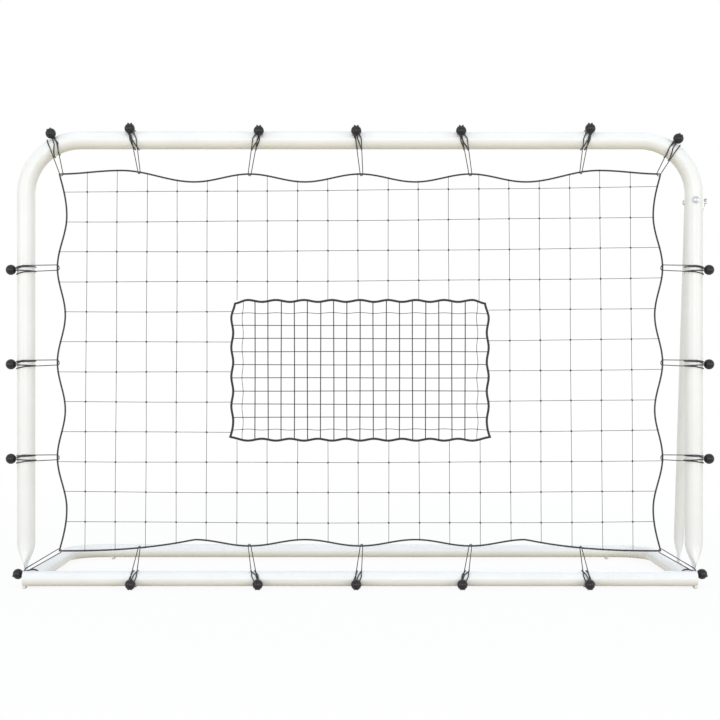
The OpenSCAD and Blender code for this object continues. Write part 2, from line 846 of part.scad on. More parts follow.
function ease(t) = t <= 0 ? 0 : t >= 1 ? 1 : t * t * (3 - 2 * t);
function mix(a, b, t) = a + (b - a) * t;

// Where a strand is along the tube at angle a: lat = [at the contact, beside the ball, at the end]
function lateral(a, a0, am, a1, lat) = a < am
    ? mix(lat[0], lat[1], ease((a - a0) / (am - a0)))
    : mix(lat[1], lat[2], ease((a - am) / (a1 - am)));

// Angle at which a strand leaves the tube for a point of the border
function leave_a(orbit, hook) = atan2(hook[2], hook[1]) + acos(orbit / norm([hook[1], hook[2]]));

// One strand, from inside the ball to the border: hook is its last point
function strand(orbit, ball, ball_a, lat, hook, s, bow) =
    let (stem = acos(orbit / ball),
        a0 = leave_a(orbit, hook),
        a1 = 360 + ball_a - stem,
        d = [0, -sin(a1), cos(a1)],
        centre = [0, ball * cos(ball_a), ball * sin(ball_a)],
        in_bore = [s * (cord_r + 0.1), 0, 0])
    concat(
        [centre + in_bore + (ball_r - 8) * d, centre + in_bore - (ball_r + 1) * d],
        [for (i = [arc_steps:-1:0])
            let (a = mix(a0, a1, i / arc_steps), u = lateral(a, a0, ball_a, a1, lat))
            [u, orbit * cos(a), orbit * sin(a) - bow * u * u]],
        [hook]);

function turned(v) = [for (i = [len(v) - 1:-1:0]) v[i]];

// The whole loop round the tube and the border; hook is the border's middle line.
// split is the way from strand to strand, across the border cord.
// down is the way from the border to the loop's end.
function elastic(orbit, ball, ball_a, lats, hook, split, down, bow) = concat(
    strand(orbit, ball, ball_a, lats[0], hook - split, -1, bow),
    [hook - split * 0.85 + down * 0.85, hook + down, hook + split * 0.85 + down * 0.85],
    turned(strand(orbit, ball, ball_a, lats[1], hook + split, 1, bow)));

// A tube of six sides along the points, as one closed body
module sweep(points, r) {
    n = len(points);
    sides = 6;
    ways = [for (i = [0:n - 1]) unit(points[min(i + 1, n - 1)] - points[max(i - 1, 0)])];
    normals = carried(ways, 0, across(ways[0]));
    rings = [for (i = [0:n - 1]) for (k = [0:sides - 1])
        points[i] + r * (cos(60 * k) * normals[i] + sin(60 * k) * cross(ways[i], normals[i]))];
    walls = [for (i = [0:n - 2]) for (k = [0:sides - 1])
        let (a = i * sides + k, b = i * sides + (k + 1) % sides)
        each [[a, a + sides, b], [b, a + sides, b + sides]]];
    polyhedron(rings, concat(walls, [[for (k = [0:sides - 1]) k]],
        [[for (k = [sides - 1:-1:0]) (n - 1) * sides + k]]));
}

function unit(v) = v / norm(v);
function across(v) = unit(cross(v, abs(v[0]) < 0.8 ? [1, 0, 0] : [0, 1, 0]));
function square_to(v, way) = unit(v - (v * way) * way);
function carried(ways, i, last) = i >= len(ways) ? [] :
    let (here = square_to(last, ways[i])) concat([here], carried(ways, i + 1, here));

// Side shifts of the two strands, for a hook that lies at hook_u from the ball
function strand_lats(hook_u) = let (c = 0.6 * hook_u)
    [[c - 6, -13, c - 1.6], [max(c + 9, -4), 11, c + 4.4]];

// Places an elastic's frame: centre of the tube, and its u, f and o axes as columns
module in_frame(centre, u, f, o) {
    multmatrix([[u[0], f[0], o[0], centre[0]], [u[1], f[1], o[1], centre[1]],
        [u[2], f[2], o[2], centre[2]], [0, 0, 0, 1]]) children();
}

function to_frame(p, centre, u, f, o) = let (v = p - centre) [v * u, v * f, v * o];
function from_frame(p, centre, u, f, o) = centre + p[0] * u + p[1] * f + p[2] * o;

front = [0, -1, 0];

// A site is [tube centre, along the tube, front, outwards, border point, orbit, ball orbit,
// ball angle, how fast the tube curves away]
function site(centre, u, o, hook, orbit, ball, ball_a, bow = 0) =
    [centre, u, front, o, hook, orbit, ball, ball_a, bow];

ball_shift = 25;
outer_shift = 16;
middle_shift = 14;
side_shift = 5;
hook_side = 0.71 * border_d + cord_r + face_gap;
function top_site(x, way, shift, ball_a) = site([x + way * shift, post_y, top_z], [way, 0, 0],
    [0, 0, 1], [x, net_y, top_line(x)], frame_orbit, frame_ball_orbit, ball_a);
function bottom_site(x, way, shift) = site([x + way * shift, bar_y, base_z], [way, 0, 0], [0, 0, -1],
    [x, net_y, bottom_line(x)], base_orbit, base_ball_orbit, bottom_ball_a);
function side_site(side, h) = site([side * post_x, post_y, net_mid_z + h - side_shift], [0, 0, -1],
    [side, 0, 0], [side * side_line(h), net_y, net_mid_z + h], frame_orbit, frame_ball_orbit, side_ball_a);
function corner_site(side, a) = let (o = [side * sin(a), 0, cos(a)])
    site([side * bend_x, post_y, bend_z] + frame_bend_r * o, [side * cos(a), 0, -sin(a)], o,
        [side * (net_half_w - 1), net_y, net_high - 1], frame_orbit, frame_ball_orbit, bend_ball_a,
        0.5 / frame_bend_r);

TOP = [corner_site(-1, corner_left_a), top_site(-2 * hook_x, -1, ball_shift, outer_ball_a),
    top_site(-hook_x, 1, ball_shift, top_ball_a), top_site(middle_hook, -1, middle_shift, top_ball_a),
    top_site(hook_x, -1, ball_shift, top_ball_a), top_site(2 * hook_x, 1, ball_shift, outer_ball_a),
    corner_site(1, corner_right_a)];
BOTTOM = [bottom_site(-2 * hook_x, -1, outer_shift), bottom_site(-hook_x, 1, ball_shift),
    bottom_site(middle_hook, -1, middle_shift), bottom_site(hook_x, -1, ball_shift),
    bottom_site(2 * hook_x, 1, outer_shift)];
LEFT = [for (i = [1, 0, -1]) side_site(-1, i * hook_z)];
RIGHT = [for (i = [1, 0, -1]) side_site(1, i * hook_z)];

// The elastics at the lower corners go round the side tubes, in front of the feet
corner_ball_y = 18;
function foot_site(side) = [[side * side_x, bar_y + corner_ball_y, base_z], [0, 1, 0], [0, 0, 1],
    [side, 0, 0], [side * net_half_w, net_y, net_low], base_orbit, base_ball_orbit + 3.5, corner_ball_a];
foot_lats = [[5.5, 5.5, 5.5], [10, 10, 10]];

module site_elastic(s) {
    hook = to_frame(s[4], s[0], s[1], s[2], s[3]);
    a = leave_a(s[5], hook);
    points = elastic(s[5], s[6], s[7], strand_lats(hook[0]), hook,
        [3.5, -hook_side * cos(a), -hook_side * sin(a)], hook_side * [0, sin(a), -cos(a)], s[8]);
    sweep([for (p = points) from_frame(p, s[0], s[1], s[2], s[3])], cord_r);
}

module foot_elastic(s) {
    hook = to_frame(s[4], s[0], s[1], s[2], s[3]);
    points = elastic(s[5], s[6], s[7], foot_lats, hook,
        [hook_side, 0, 0], [0, hook_side, -hook_side], 0);
    sweep([for (p = points) from_frame(p, s[0], s[1], s[2], s[3])], cord_r);
}

// Places its children at a site's ball, with Z along the ball's bore
module at_ball(s) {
    a = s[7] - acos(s[5] / s[6]);
    d = -sin(a) * s[2] + cos(a) * s[3];
    across_bore = cross(s[1], d);
    in_frame(s[0] + s[6] * (cos(s[7]) * s[2] + sin(s[7]) * s[3]), s[1], across_bore * -1, d) children();
}

counterbore_d = 12.6;
stop_l = 4.5;

module ball() {
    difference() {
        sphere(d = ball_d, $fn = 64);
        translate([0, 0, -ball_d]) cylinder(d = 2 * cord_d + 0.8, h = 2 * ball_d, $fn = 48);
        translate([0, 0, ball_r - 8]) cylinder(d = counterbore_d, h = ball_d, $fn = 48);
    }
}

// Crimped end of an elastic, in the wide end of its ball's bore
module stop() {
    translate([0, 0, ball_r - 7.9]) cylinder(d = counterbore_d - 2, h = stop_l, $fn = 48);
}

module elastics_top() {
    color(cord_black) for (s = TOP) site_elastic(s);
}

module elastics_left() {
    color(cord_black) for (s = LEFT) site_elastic(s);
}

module elastics_right() {
    color(cord_black) for (s = RIGHT) site_elastic(s);
}

module elastics_bottom() {
    color(cord_black) for (s = BOTTOM) site_elastic(s);
    color(cord_black) for (side = [-1, 1]) foot_elastic(foot_site(side));
}

module balls_top() {
    color(plastic_black) for (s = TOP) at_ball(s) ball();
}

module balls_left() {
    color(plastic_black) for (s = LEFT) at_ball(s) ball();
}

module balls_right() {
    color(plastic_black) for (s = RIGHT) at_ball(s) ball();
}

module balls_bottom() {
    color(plastic_black) for (s = BOTTOM) at_ball(s) ball();
    color(plastic_black) for (side = [-1, 1]) at_ball(foot_site(side)) ball();
}

module stops_frame() {
    color(cord_black) for (s = concat(TOP, LEFT, RIGHT)) at_ball(s) stop();
}

module stops_base() {
    color(cord_black) for (s = BOTTOM) at_ball(s) stop();
    color(cord_black) for (side = [-1, 1]) at_ball(foot_site(side)) stop();
}

// ---------------------------------------------------------------- the part

base_front_bar();
base_spigots();
base_side_left();
base_side_right();
base_rear_bar();
base_sleeves();
base_end_plugs();
front_feet();
rear_feet();
foot_bolts();
foot_washers();
foot_nuts();
slide_bolt();
slide_nut();
post_left();
post_right();
top_bend_left();
top_bend_right();
top_bar();
frame_sleeves();
joint_screws();
pivot_bracket();
bracket_screw();
bracket_nut();
pivot_bolt();
pivot_washer();
strut_spacer();
wing_nut();
strut();
strut_cap();
net();
net_border();
target_net();
target_border();
elastics_top();
elastics_left();
elastics_right();
elastics_bottom();
balls_top();
balls_left();
balls_right();
balls_bottom();
stops_frame();
stops_base();
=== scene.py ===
import math

import bmesh
import bpy
from mathutils import Matrix, Vector


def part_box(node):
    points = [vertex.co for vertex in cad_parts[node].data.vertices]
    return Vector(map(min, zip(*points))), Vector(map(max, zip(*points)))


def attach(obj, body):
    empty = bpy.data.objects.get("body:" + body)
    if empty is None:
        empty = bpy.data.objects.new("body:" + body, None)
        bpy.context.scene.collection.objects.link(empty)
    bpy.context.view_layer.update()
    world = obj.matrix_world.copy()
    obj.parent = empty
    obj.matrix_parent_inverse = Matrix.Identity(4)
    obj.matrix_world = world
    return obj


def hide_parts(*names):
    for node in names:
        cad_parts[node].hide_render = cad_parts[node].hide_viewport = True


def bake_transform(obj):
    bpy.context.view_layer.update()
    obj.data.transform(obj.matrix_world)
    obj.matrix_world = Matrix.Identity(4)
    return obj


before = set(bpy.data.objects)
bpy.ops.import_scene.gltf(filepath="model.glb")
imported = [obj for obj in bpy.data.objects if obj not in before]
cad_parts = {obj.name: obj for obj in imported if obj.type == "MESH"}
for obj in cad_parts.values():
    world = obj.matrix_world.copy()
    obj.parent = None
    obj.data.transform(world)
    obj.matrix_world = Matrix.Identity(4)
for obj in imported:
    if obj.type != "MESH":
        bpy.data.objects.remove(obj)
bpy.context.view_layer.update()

# ---------------------------------------------------------------- camera
# The camera stands square to the net, level, at about half the height of the frame
# and a little under four metres in front of the ground bar.

lens = 73.05
camera_height = 0.606
camera_distance = 3.88
film_width = 36
sees_to = 60

bar_low, bar_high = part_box("base_front_bar")
bar_y = (bar_low.y + bar_high.y) / 2
camera_data = bpy.data.cameras.new("camera")
camera_data.lens = lens
camera_data.sensor_width = film_width
camera_data.clip_end = sees_to
camera = bpy.data.objects.new("camera", camera_data)
camera.location = (0, bar_y - camera_distance, camera_height)
camera.rotation_euler = (math.radians(90), 0, 0)
bpy.context.collection.objects.link(camera)
bpy.context.scene.camera = camera
bpy.context.scene.view_settings.view_transform = "Standard"

# ---------------------------------------------------------------- studio
# A pale floor runs out to a white surround. The camera and shiny faces see it white,
# while the light that it throws back on the undersides of the tubes is dull and warm.

floor_size = 24
floor_warm = (0.55, 0.45, 0.26)
floor_white = (0.97, 0.97, 0.97)
fade_from = 1.0
fade_to = 3.5
white = (1, 1, 1)
white_share = 0.90
surround_cool = (0.90, 0.95, 1.0)
surround_light = 0.74


def empty_nodes(owner):
    owner.use_nodes = True
    owner.node_tree.nodes.clear()
    return owner.node_tree.nodes, owner.node_tree.links


def calculated(nodes, links, operation, *values):
    """One Math node. Each value is a number or the output of another node."""
    step = nodes.new("ShaderNodeMath")
    step.operation = operation
    for socket, value in zip(step.inputs, values):
        if isinstance(value, (int, float)):
            socket.default_value = value
        else:
            links.new(value, socket)
    return step.outputs[0]


def ranged(nodes, links, value, low, high, start=0.0, end=1.0):
    """A number that runs from low to high as value goes from start to end."""
    made = nodes.new("ShaderNodeMapRange")
    made.inputs["From Min"].default_value = start
    made.inputs["From Max"].default_value = end
    made.inputs["To Min"].default_value = low
    made.inputs["To Max"].default_value = high
    links.new(value, made.inputs["Value"])
    return made.outputs[0]


def plain(nodes, kind, colour, strength=None):
    """A background, diffuse or emission shader of one colour."""
    made = nodes.new(kind)
    made.inputs["Color"].default_value = (*colour, 1)
    if strength is not None:
        made.inputs["Strength"].default_value = strength
    return made.outputs[0]


def either(nodes, links, share, first, second):
    """The first shader where share is 0, the second where it is 1."""
    mix = nodes.new("ShaderNodeMixShader")
    for socket, value in zip(mix.inputs, (share, first, second)):
        links.new(value, socket)
    return mix.outputs[0]


def seen_directly(nodes, links):
    """1 for rays from the camera and in reflections, 0 for the light on things."""
    path = nodes.new("ShaderNodeLightPath").outputs
    sharp = calculated(nodes, links, "MAXIMUM", path["Is Camera Ray"], path["Is Glossy Ray"])
    return calculated(nodes, links, "MAXIMUM", sharp, path["Is Transmission Ray"])


world = bpy.data.worlds.new("surround")
bpy.context.scene.world = world
nodes, links = empty_nodes(world)
light_on_things = plain(nodes, "ShaderNodeBackground", surround_cool, surround_light)
white_surround = plain(nodes, "ShaderNodeBackground", white, 1.0)
out = nodes.new("ShaderNodeOutputWorld")
links.new(
    either(nodes, links, seen_directly(nodes, links), light_on_things, white_surround),
    out.inputs["Surface"],
)

floor_paint = bpy.data.materials.new("studio_floor")
nodes, links = empty_nodes(floor_paint)
dull = plain(nodes, "ShaderNodeBsdfDiffuse", floor_warm)
shadowed = plain(nodes, "ShaderNodeBsdfDiffuse", floor_white)
lit = plain(nodes, "ShaderNodeEmission", white, 1.0)
place = nodes.new("ShaderNodeTexCoord")
away = nodes.new("ShaderNodeVectorMath")
away.operation = "LENGTH"
links.new(place.outputs["Object"], away.inputs[0])
fade = ranged(nodes, links, away.outputs["Value"], white_share, 1.0, fade_from, fade_to)
seen_floor = either(nodes, links, fade, shadowed, lit)
out = nodes.new("ShaderNodeOutputMaterial")
links.new(
    either(nodes, links, seen_directly(nodes, links), dull, seen_floor), out.inputs["Surface"]
)

bm = bmesh.new()
bmesh.ops.create_grid(bm, x_segments=1, y_segments=1, size=floor_size / 2)
floor_mesh = bpy.data.meshes.new("studio_floor")
bm.to_mesh(floor_mesh)
bm.free()
floor_mesh.materials.append(floor_paint)
floor = bpy.data.objects.new("studio_floor", floor_mesh)
bpy.context.collection.objects.link(floor)


def soft_lamp(name, place, aim, size, watts, colour):
    data = bpy.data.lights.new(name, "AREA")
    data.shape = "SQUARE"
    data.size = size
    data.energy = watts
    data.color = colour
    lamp = bpy.data.objects.new(name, data)
    lamp.location = place
    lamp.rotation_mode = "QUATERNION"
    lamp.rotation_quaternion = (Vector(aim) - Vector(place)).to_track_quat("-Z", "Y")
    bpy.context.collection.objects.link(lamp)


soft_lamp("lamp_above", (-0.4, -1.6, 3.6), (0, 0, 0.6), 2.6, 8, (0.96, 0.98, 1.0))
soft_lamp("lamp_front", (0.2, -9.5, 0.7), (0, 0, 0.6), 6.2, 350, (0.97, 0.985, 1.0))
soft_lamp("lamp_left", (-4.8, -3.6, 1.0), (0, -0.2, 0.6), 3.2, 72, (1.0, 0.995, 0.99))
soft_lamp("lamp_right", (4.8, -3.6, 1.0), (0, -0.2, 0.6), 3.2, 72, (0.98, 0.99, 1.0))
soft_lamp("lamp_behind", (1.4, 3.2, 2.6), (0, 0.2, 0.6), 2.0, 20, (0.97, 0.98, 1.0))

# ---------------------------------------------------------------- powder-coated tubes
# The frame, the ground frame and the strut are steel tube under a white powder coat,
# which has a faint orange-peel skin and a soft gloss.

powder_white = (0.90, 0.915, 0.93)


def shader(name, colour, roughness, metallic=0.0):
    """A new material with one Principled shader, and what is needed to add to it."""
    made = bpy.data.materials.new(name)
    nodes, links = empty_nodes(made)
    skin = nodes.new("ShaderNodeBsdfPrincipled")
    skin.inputs["Base Color"].default_value = (*colour, 1)
    skin.inputs["Roughness"].default_value = roughness
    skin.inputs["Metallic"].default_value = metallic
    out = nodes.new("ShaderNodeOutputMaterial")
    links.new(skin.outputs[0], out.inputs["Surface"])
    return made, nodes, links, skin


def grain(nodes, links, scale, detail):
    """A noise at scale, in lumps to the metre, fixed to the piece."""
    place = nodes.new("ShaderNodeTexCoord")
    noise = nodes.new("ShaderNodeTexNoise")
    noise.inputs["Scale"].default_value = scale
    noise.inputs["Detail"].default_value = detail
    links.new(place.outputs["Object"], noise.inputs["Vector"])
    return noise.outputs["Fac"]


def bumpy(nodes, links, skin, height, strength, depth):
    bump = nodes.new("ShaderNodeBump")
    bump.inputs["Strength"].default_value = strength
    bump.inputs["Distance"].default_value = depth
    links.new(height, bump.inputs["Height"])
    links.new(bump.outputs[0], skin.inputs["Normal"])


def shaded(nodes, links, skin, factor, low, high, dark, light):
    """Runs the skin's colour from dark to light as factor goes from low to high."""
    ramp = nodes.new("ShaderNodeValToRGB")
    ramp.color_ramp.elements[0].position = low
    ramp.color_ramp.elements[0].color = (*dark, 1)
    ramp.color_ramp.elements[1].position = high
    ramp.color_ramp.elements[1].color = (*light, 1)
    links.new(factor, ramp.inputs[0])
    links.new(ramp.outputs[0], skin.inputs["Base Color"])


def finish(names, material):
    """Gives CAD nodes that keep their shape a new material."""
    for name in names:
        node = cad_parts[name]
        node.data.materials.clear()
        node.data.materials.append(material)


powder, nodes, links, skin = shader("powder_coat", powder_white, roughness=0.38)
skin.inputs["Coat Weight"].default_value = 0.25
skin.inputs["Coat Roughness"].default_value = 0.22
peel = grain(nodes, links, scale=900, detail=2.0)
bumpy(nodes, links, skin, peel, strength=0.10, depth=0.0004)
cloud = grain(nodes, links, scale=9, detail=3.0)
shaded(
    nodes, links, skin, cloud, 0.35, 0.65,
    dark=(0.885, 0.90, 0.915), light=(0.915, 0.93, 0.945),
)

powder_nodes = (
    "base_front_bar", "base_spigots", "base_side_left", "base_side_right", "base_rear_bar",
    "top_bend_left", "top_bend_right", "top_bar",
)
finish(powder_nodes, powder)

# ---------------------------------------------------------------- pressed posts
# The two posts are round tube whose lower ends are pressed flat in a die, trimmed to a
# neck with a round tip and drilled, so that they turn on a bolt through the side tube.

post_x = 0.8965
pivot_behind_bar = 0.044
post_y = bar_y + pivot_behind_bar
post_r = 0.024
ground_axis = 0.0255
post_joint = 0.960
pressed_from = 0.118
pressed_to = 0.063
round_above = 0.02
post_flare = 0.029
half_plate = 0.002
plate_squareness = 0.38
tip_r = 0.013


def eased(t):
    return t * t * (3 - 2 * t)


def flattened(high, low, radius, width, steps):
    """Sections from round, at high, to flat, at low.

    Each is its height, half thickness, half width and roundness.
    """
    made = []
    for i in range(steps + 1):
        fall = i / steps
        pinch = 1 - math.cos(math.pi / 2 * fall) ** 0.9
        made.append((
            high + (low - high) * fall,
            radius + (half_plate - radius) * pinch,
            radius + (width - radius) * eased(fall),
            1 - (1 - plate_squareness) * pinch,
        ))
    return made


def rounded_tip(radius, steps=8):
    """Sections of the round end of a flat plate, below the bolt, whose axis is at height 0."""
    made = []
    for i in range(1, steps + 1):
        turn = math.radians(90 * i / steps - 2)
        half_width = radius * math.cos(turn)
        made.append((-radius * math.sin(turn), half_plate, half_width, plate_squareness))
    return made


def pressed_tube(sections):
    """A tube along Z that runs down through the sections, closed at both ends."""
    bm = bmesh.new()
    bmesh.ops.create_circle(bm, cap_ends=False, segments=64, radius=1)
    edges = list(bm.edges)
    for i in range(1, len(sections)):
        geom = bmesh.ops.extrude_edge_only(bm, edges=edges)["geom"]
        edges = [g for g in geom if isinstance(g, bmesh.types.BMEdge)]
        verts = [g for g in geom if isinstance(g, bmesh.types.BMVert)]
        bmesh.ops.translate(bm, verts=verts, vec=(0, 0, 1))
    for v in bm.verts:
        height, thick, wide, roundness = sections[round(v.co.z)]
        v.co.x = math.copysign(thick * abs(v.co.x) ** roundness, v.co.x)
        v.co.y = math.copysign(wide * abs(v.co.y) ** roundness, v.co.y)
        v.co.z = height
    rims = [e for e in bm.edges if e.is_boundary]
    for e in rims:
        e.smooth = False
    bmesh.ops.holes_fill(bm, edges=rims, sides=0)
    bmesh.ops.recalc_face_normals(bm, faces=bm.faces)
    return bm


def placed(name, mesh, material, body, replaced):
    """The finished mesh as an object that rides on a body and stands for CAD nodes."""
    mesh.materials.append(material)
    made = bpy.data.objects.new(name, mesh)
    bpy.context.collection.objects.link(made)
    if replaced:
        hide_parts(*replaced)
    if body:
        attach(made, body)
    return made


def piece(name, bm, material, body, replaced=()):
    mesh = bpy.data.meshes.new(name)
    bm.to_mesh(mesh)
    bm.free()
    mesh.shade_smooth()
    return placed(name, mesh, material, body, replaced)


neck_shape = ((0.060, 0.0256), (0.056, 0.0208), (0.051, 0.0160), (0.047, 0.0134))
post_sections = [
    (post_joint, post_r, post_r, 1),
    (pressed_from + round_above, post_r, post_r, 1),
]
post_sections += flattened(pressed_from, pressed_to, post_r, post_flare, steps=16)
for height, half_width in neck_shape:
    post_sections.append((height, half_plate, half_width, plate_squareness))
post_sections.append((ground_axis + 0.001, half_plate, tip_r, plate_squareness))
post_sections += [(ground_axis + s[0], *s[1:]) for s in rounded_tip(tip_r)]
for name, side in (("left", -1), ("right", 1)):
    bm = pressed_tube(post_sections)
    bmesh.ops.translate(bm, verts=bm.verts, vec=(side * post_x, post_y, 0))
    piece(f"pressed_post_{name}", bm, powder, "net_frame", [f"post_{name}"])

# ---------------------------------------------------------------- strut
# One thinner tube, pressed flat at its foot in the same way. It leans back from the
# pivot bolt behind the right post to the bolt that slides in the side tube's slot.

slot_from_bar = 0.238
pivot_behind_post = 0.050
pivot_z = 1.034
strut_r = 0.014
strut_over_pivot = 0.022
strut_round_to = 0.100
strut_flare = 0.018

strut_foot = Vector((post_x, bar_y + slot_from_bar, ground_axis))
strut_top = Vector((post_x, post_y + pivot_behind_post, pivot_z))
strut_length = (strut_top - strut_foot).length
strut_sections = [
    (strut_length + strut_over_pivot, strut_r, strut_r, 1),
    (strut_round_to, strut_r, strut_r, 1),
]
strut_sections += flattened(0.088, 0.036, strut_r, strut_flare, steps=14)
strut_sections += [
    (0.017, half_plate, 0.0155, plate_squareness),
    (0.001, half_plate, tip_r, plate_squareness),
]
strut_sections += rounded_tip(tip_r)
bm = pressed_tube(strut_sections)
lean_angle = math.atan2(strut_foot.y - strut_top.y, strut_top.z - strut_foot.z)
lean = Matrix.Rotation(lean_angle, 4, "X")
bmesh.ops.transform(bm, matrix=Matrix.Translation(strut_foot) @ lean, verts=bm.verts)
piece("pressed_strut", bm, powder, "strut", ["strut"])

# ---------------------------------------------------------------- zinc-plated hardware
# Bolts, nuts, washers, screws, sleeves and the saddle bracket are steel with a bright,
# slightly clouded zinc plating.

zinc_grey = (0.60, 0.61, 0.62)

zinc, nodes, links, skin = shader("zinc_plate", zinc_grey, roughness=0.34, metallic=1.0)
bloom = grain(nodes, links, scale=160, detail=4.0)
shaded(nodes, links, skin, bloom, 0.30, 0.70, dark=(0.42, 0.43, 0.45), light=(0.62, 0.63, 0.63))
links.new(ranged(nodes, links, bloom, low=0.26, high=0.46), skin.inputs["Roughness"])
bumpy(nodes, links, skin, bloom, strength=0.15, depth=0.0002)

zinc_nodes = (
    "base_sleeves", "foot_bolts", "foot_washers", "foot_nuts", "slide_bolt", "slide_nut",
    "frame_sleeves", "joint_screws", "pivot_bracket", "bracket_screw", "bracket_nut",
    "pivot_bolt", "pivot_washer",
)
finish(zinc_nodes, zinc)

# ---------------------------------------------------------------- wing nut
# The zinc-plated wing nut that clamps the strut's pivot: a tapered, bored hub and two cast
# wings that lean outwards, with rounded corners and edges.

nut_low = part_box("wing_nut")[0]
nut_turn = 58
wing_thick = 0.0032
wing_corner_r = 0.0016
wing_edge_r = 0.0005
wing_corners = (
    (0.0015, 0.0050), (0.0070, 0.0050), (0.0130, 0.0110), (0.0130, 0.0160),
    (0.0100, 0.0170), (0.0050, 0.0130), (0.0015, 0.0080),
)
hub_profile = (
    (0.0042, 0.0), (0.0070, 0.0), (0.0075, 0.0005),
    (0.0061, 0.0076), (0.0056, 0.0080), (0.0042, 0.0080),
)


def lathed(bm, profile, steps=48):
    """Turns a closed profile of (radius, height) once round Z."""
    verts = [bm.verts.new((radius, 0, height)) for radius, height in profile]
    edges = [bm.edges.new((a, b)) for a, b in zip(verts, verts[1:] + verts[:1])]
    bmesh.ops.spin(
        bm, geom=verts + edges, cent=(0, 0, 0), axis=(0, 0, 1), dvec=(0, 0, 0),
        angle=math.tau, steps=steps, use_merge=True,
    )


bm = bmesh.new()
corners = [bm.verts.new((x, wing_thick / 2, z)) for x, z in wing_corners]
bm.faces.new(corners)
bmesh.ops.bevel(
    bm, geom=corners[2:6], offset=wing_corner_r, offset_type="OFFSET", segments=3,
    profile=0.5, affect="VERTICES", material=-1, clamp_overlap=True,
)
made = bmesh.ops.extrude_face_region(bm, geom=bm.faces[:], use_keep_orig=True)["geom"]
far = [g for g in made if isinstance(g, bmesh.types.BMVert)]
bmesh.ops.translate(bm, verts=far, vec=(0, -wing_thick, 0))
rim = {e for f in bm.faces if len(f.verts) > 8 for e in f.edges}
bmesh.ops.bevel(
    bm, geom=list(rim), offset=wing_edge_r, offset_type="OFFSET", segments=2,
    profile=0.5, affect="EDGES", material=-1, clamp_overlap=True,
)
copied = bmesh.ops.duplicate(bm, geom=bm.verts[:] + bm.edges[:] + bm.faces[:])["geom"]
other = [g for g in copied if isinstance(g, bmesh.types.BMVert)]
bmesh.ops.scale(bm, verts=other, vec=(1, 1, -1))
wings = set(bm.verts)
lathed(bm, hub_profile)
hub = [v for v in bm.verts if v not in wings]
along_bolt = Matrix.Rotation(math.radians(90), 3, "Y")
bmesh.ops.rotate(bm, verts=hub, cent=(0, 0, 0), matrix=along_bolt)
bmesh.ops.recalc_face_normals(bm, faces=bm.faces)
turned = Matrix.Rotation(math.radians(nut_turn), 4, "X")
seat = Matrix.Translation((nut_low.x, strut_top.y, strut_top.z))
bmesh.ops.transform(bm, matrix=seat @ turned, verts=bm.verts)
piece("cast_wing_nut", bm, zinc, "wing_nut", ["wing_nut"])

# ---------------------------------------------------------------- moulded plastic
# Pale grey pads under the ground tubes keep them off the floor, and plugs close the front
# bar's ends. The strut's cap and the spacer on its pivot are black moulded plastic.

pad_grey = (0.80, 0.80, 0.79)
mould_black = (0.020, 0.020, 0.022)


def moulded(name, colour, lighter, roughness):
    made, nodes, links, skin = shader(name, colour, roughness)
    mottle = grain(nodes, links, scale=60, detail=4.0)
    shaded(nodes, links, skin, mottle, 0.3, 0.7, dark=colour, light=lighter)
    pits = grain(nodes, links, scale=2600, detail=1.0)
    bumpy(nodes, links, skin, pits, strength=0.20, depth=0.0002)
    return made


pad_plastic = moulded("pad_plastic", pad_grey, lighter=(0.86, 0.86, 0.85), roughness=0.55)
black_plastic = moulded(
    "black_plastic", mould_black, lighter=(0.032, 0.032, 0.034), roughness=0.42
)
finish(("front_feet", "rear_feet", "base_end_plugs"), pad_plastic)
finish(("strut_cap", "strut_spacer"), black_plastic)

# ---------------------------------------------------------------- border cord of the net
# A black braided cord, a little under 5 mm thick, round the net. Each elastic draws it out
# to a crest, and it runs in again between them. It has four drawn-out corners.

# In the CAD model the winding round a tube has twelve corners, this far from its axis.
facet = math.cos(math.radians(15))
frame_cord_axis = 0.0263 / facet
net_y = post_y - frame_cord_axis
net_half_w = 0.802
net_low = 0.097
net_high = 1.102
net_mid = (net_low + net_high) / 2
net_half_h = (net_high - net_low) / 2
hook_x = 0.2945
hook_z = 0.253
border_r = 0.0023
border_wave = 0.021
corner_wave = 0.025
outer_trough = 1.5 * hook_x
crest_in = 0.165
crest_x = net_half_w - crest_in
crest_rise = 0.0095
bottom_rise = 0.013
bottom_wave = 0.017
bottom_fall = 2.5
side_bulge = 0.005
side_reach = net_half_w + side_bulge
trough_past_hook = 0.138
side_trough = hook_z + trough_past_hook
border_steps = 150
border_side_steps = 100


def swell(t, a, b):
    """0 at a and 1 at b, level at both ends."""
    return (1 - math.cos(math.pi * (t - a) / (b - a))) / 2


def wave(t, pitch):
    """0 at every whole pitch and 1 halfway between them."""
    return (1 - math.cos(math.tau * t / pitch)) / 2


def top_line(x):
    x = abs(x)
    if x <= outer_trough:
        return net_high - border_wave * wave(x, hook_x)
    if x < crest_x:
        climb = (border_wave + crest_rise) * swell(x, outer_trough, crest_x)
        return net_high - border_wave + climb
    return net_high + crest_rise * (1 - swell(x, crest_x, net_half_w))


def bottom_line(x):
    x = abs(x)
    if x <= outer_trough:
        return net_low + bottom_rise + bottom_wave * wave(x, hook_x)
    fall = (net_half_w - x) / (net_half_w - outer_trough)
    return net_low + (bottom_rise + bottom_wave) * fall**bottom_fall


def side_line(height):
    h = abs(height - net_mid)
    if h <= hook_z:
        return side_reach - border_wave * wave(h, hook_z)
    if h < side_trough:
        return side_reach - corner_wave * swell(h, hook_z, side_trough)
    run = (h - side_trough) / (net_half_h - side_trough)
    return net_half_w - (corner_wave - side_bulge) * math.cos(math.pi / 2 * run)


def span(a, b, count):
    """Places from a up to, but not including, b."""
    return [a + (b - a) * i / count for i in range(count)]


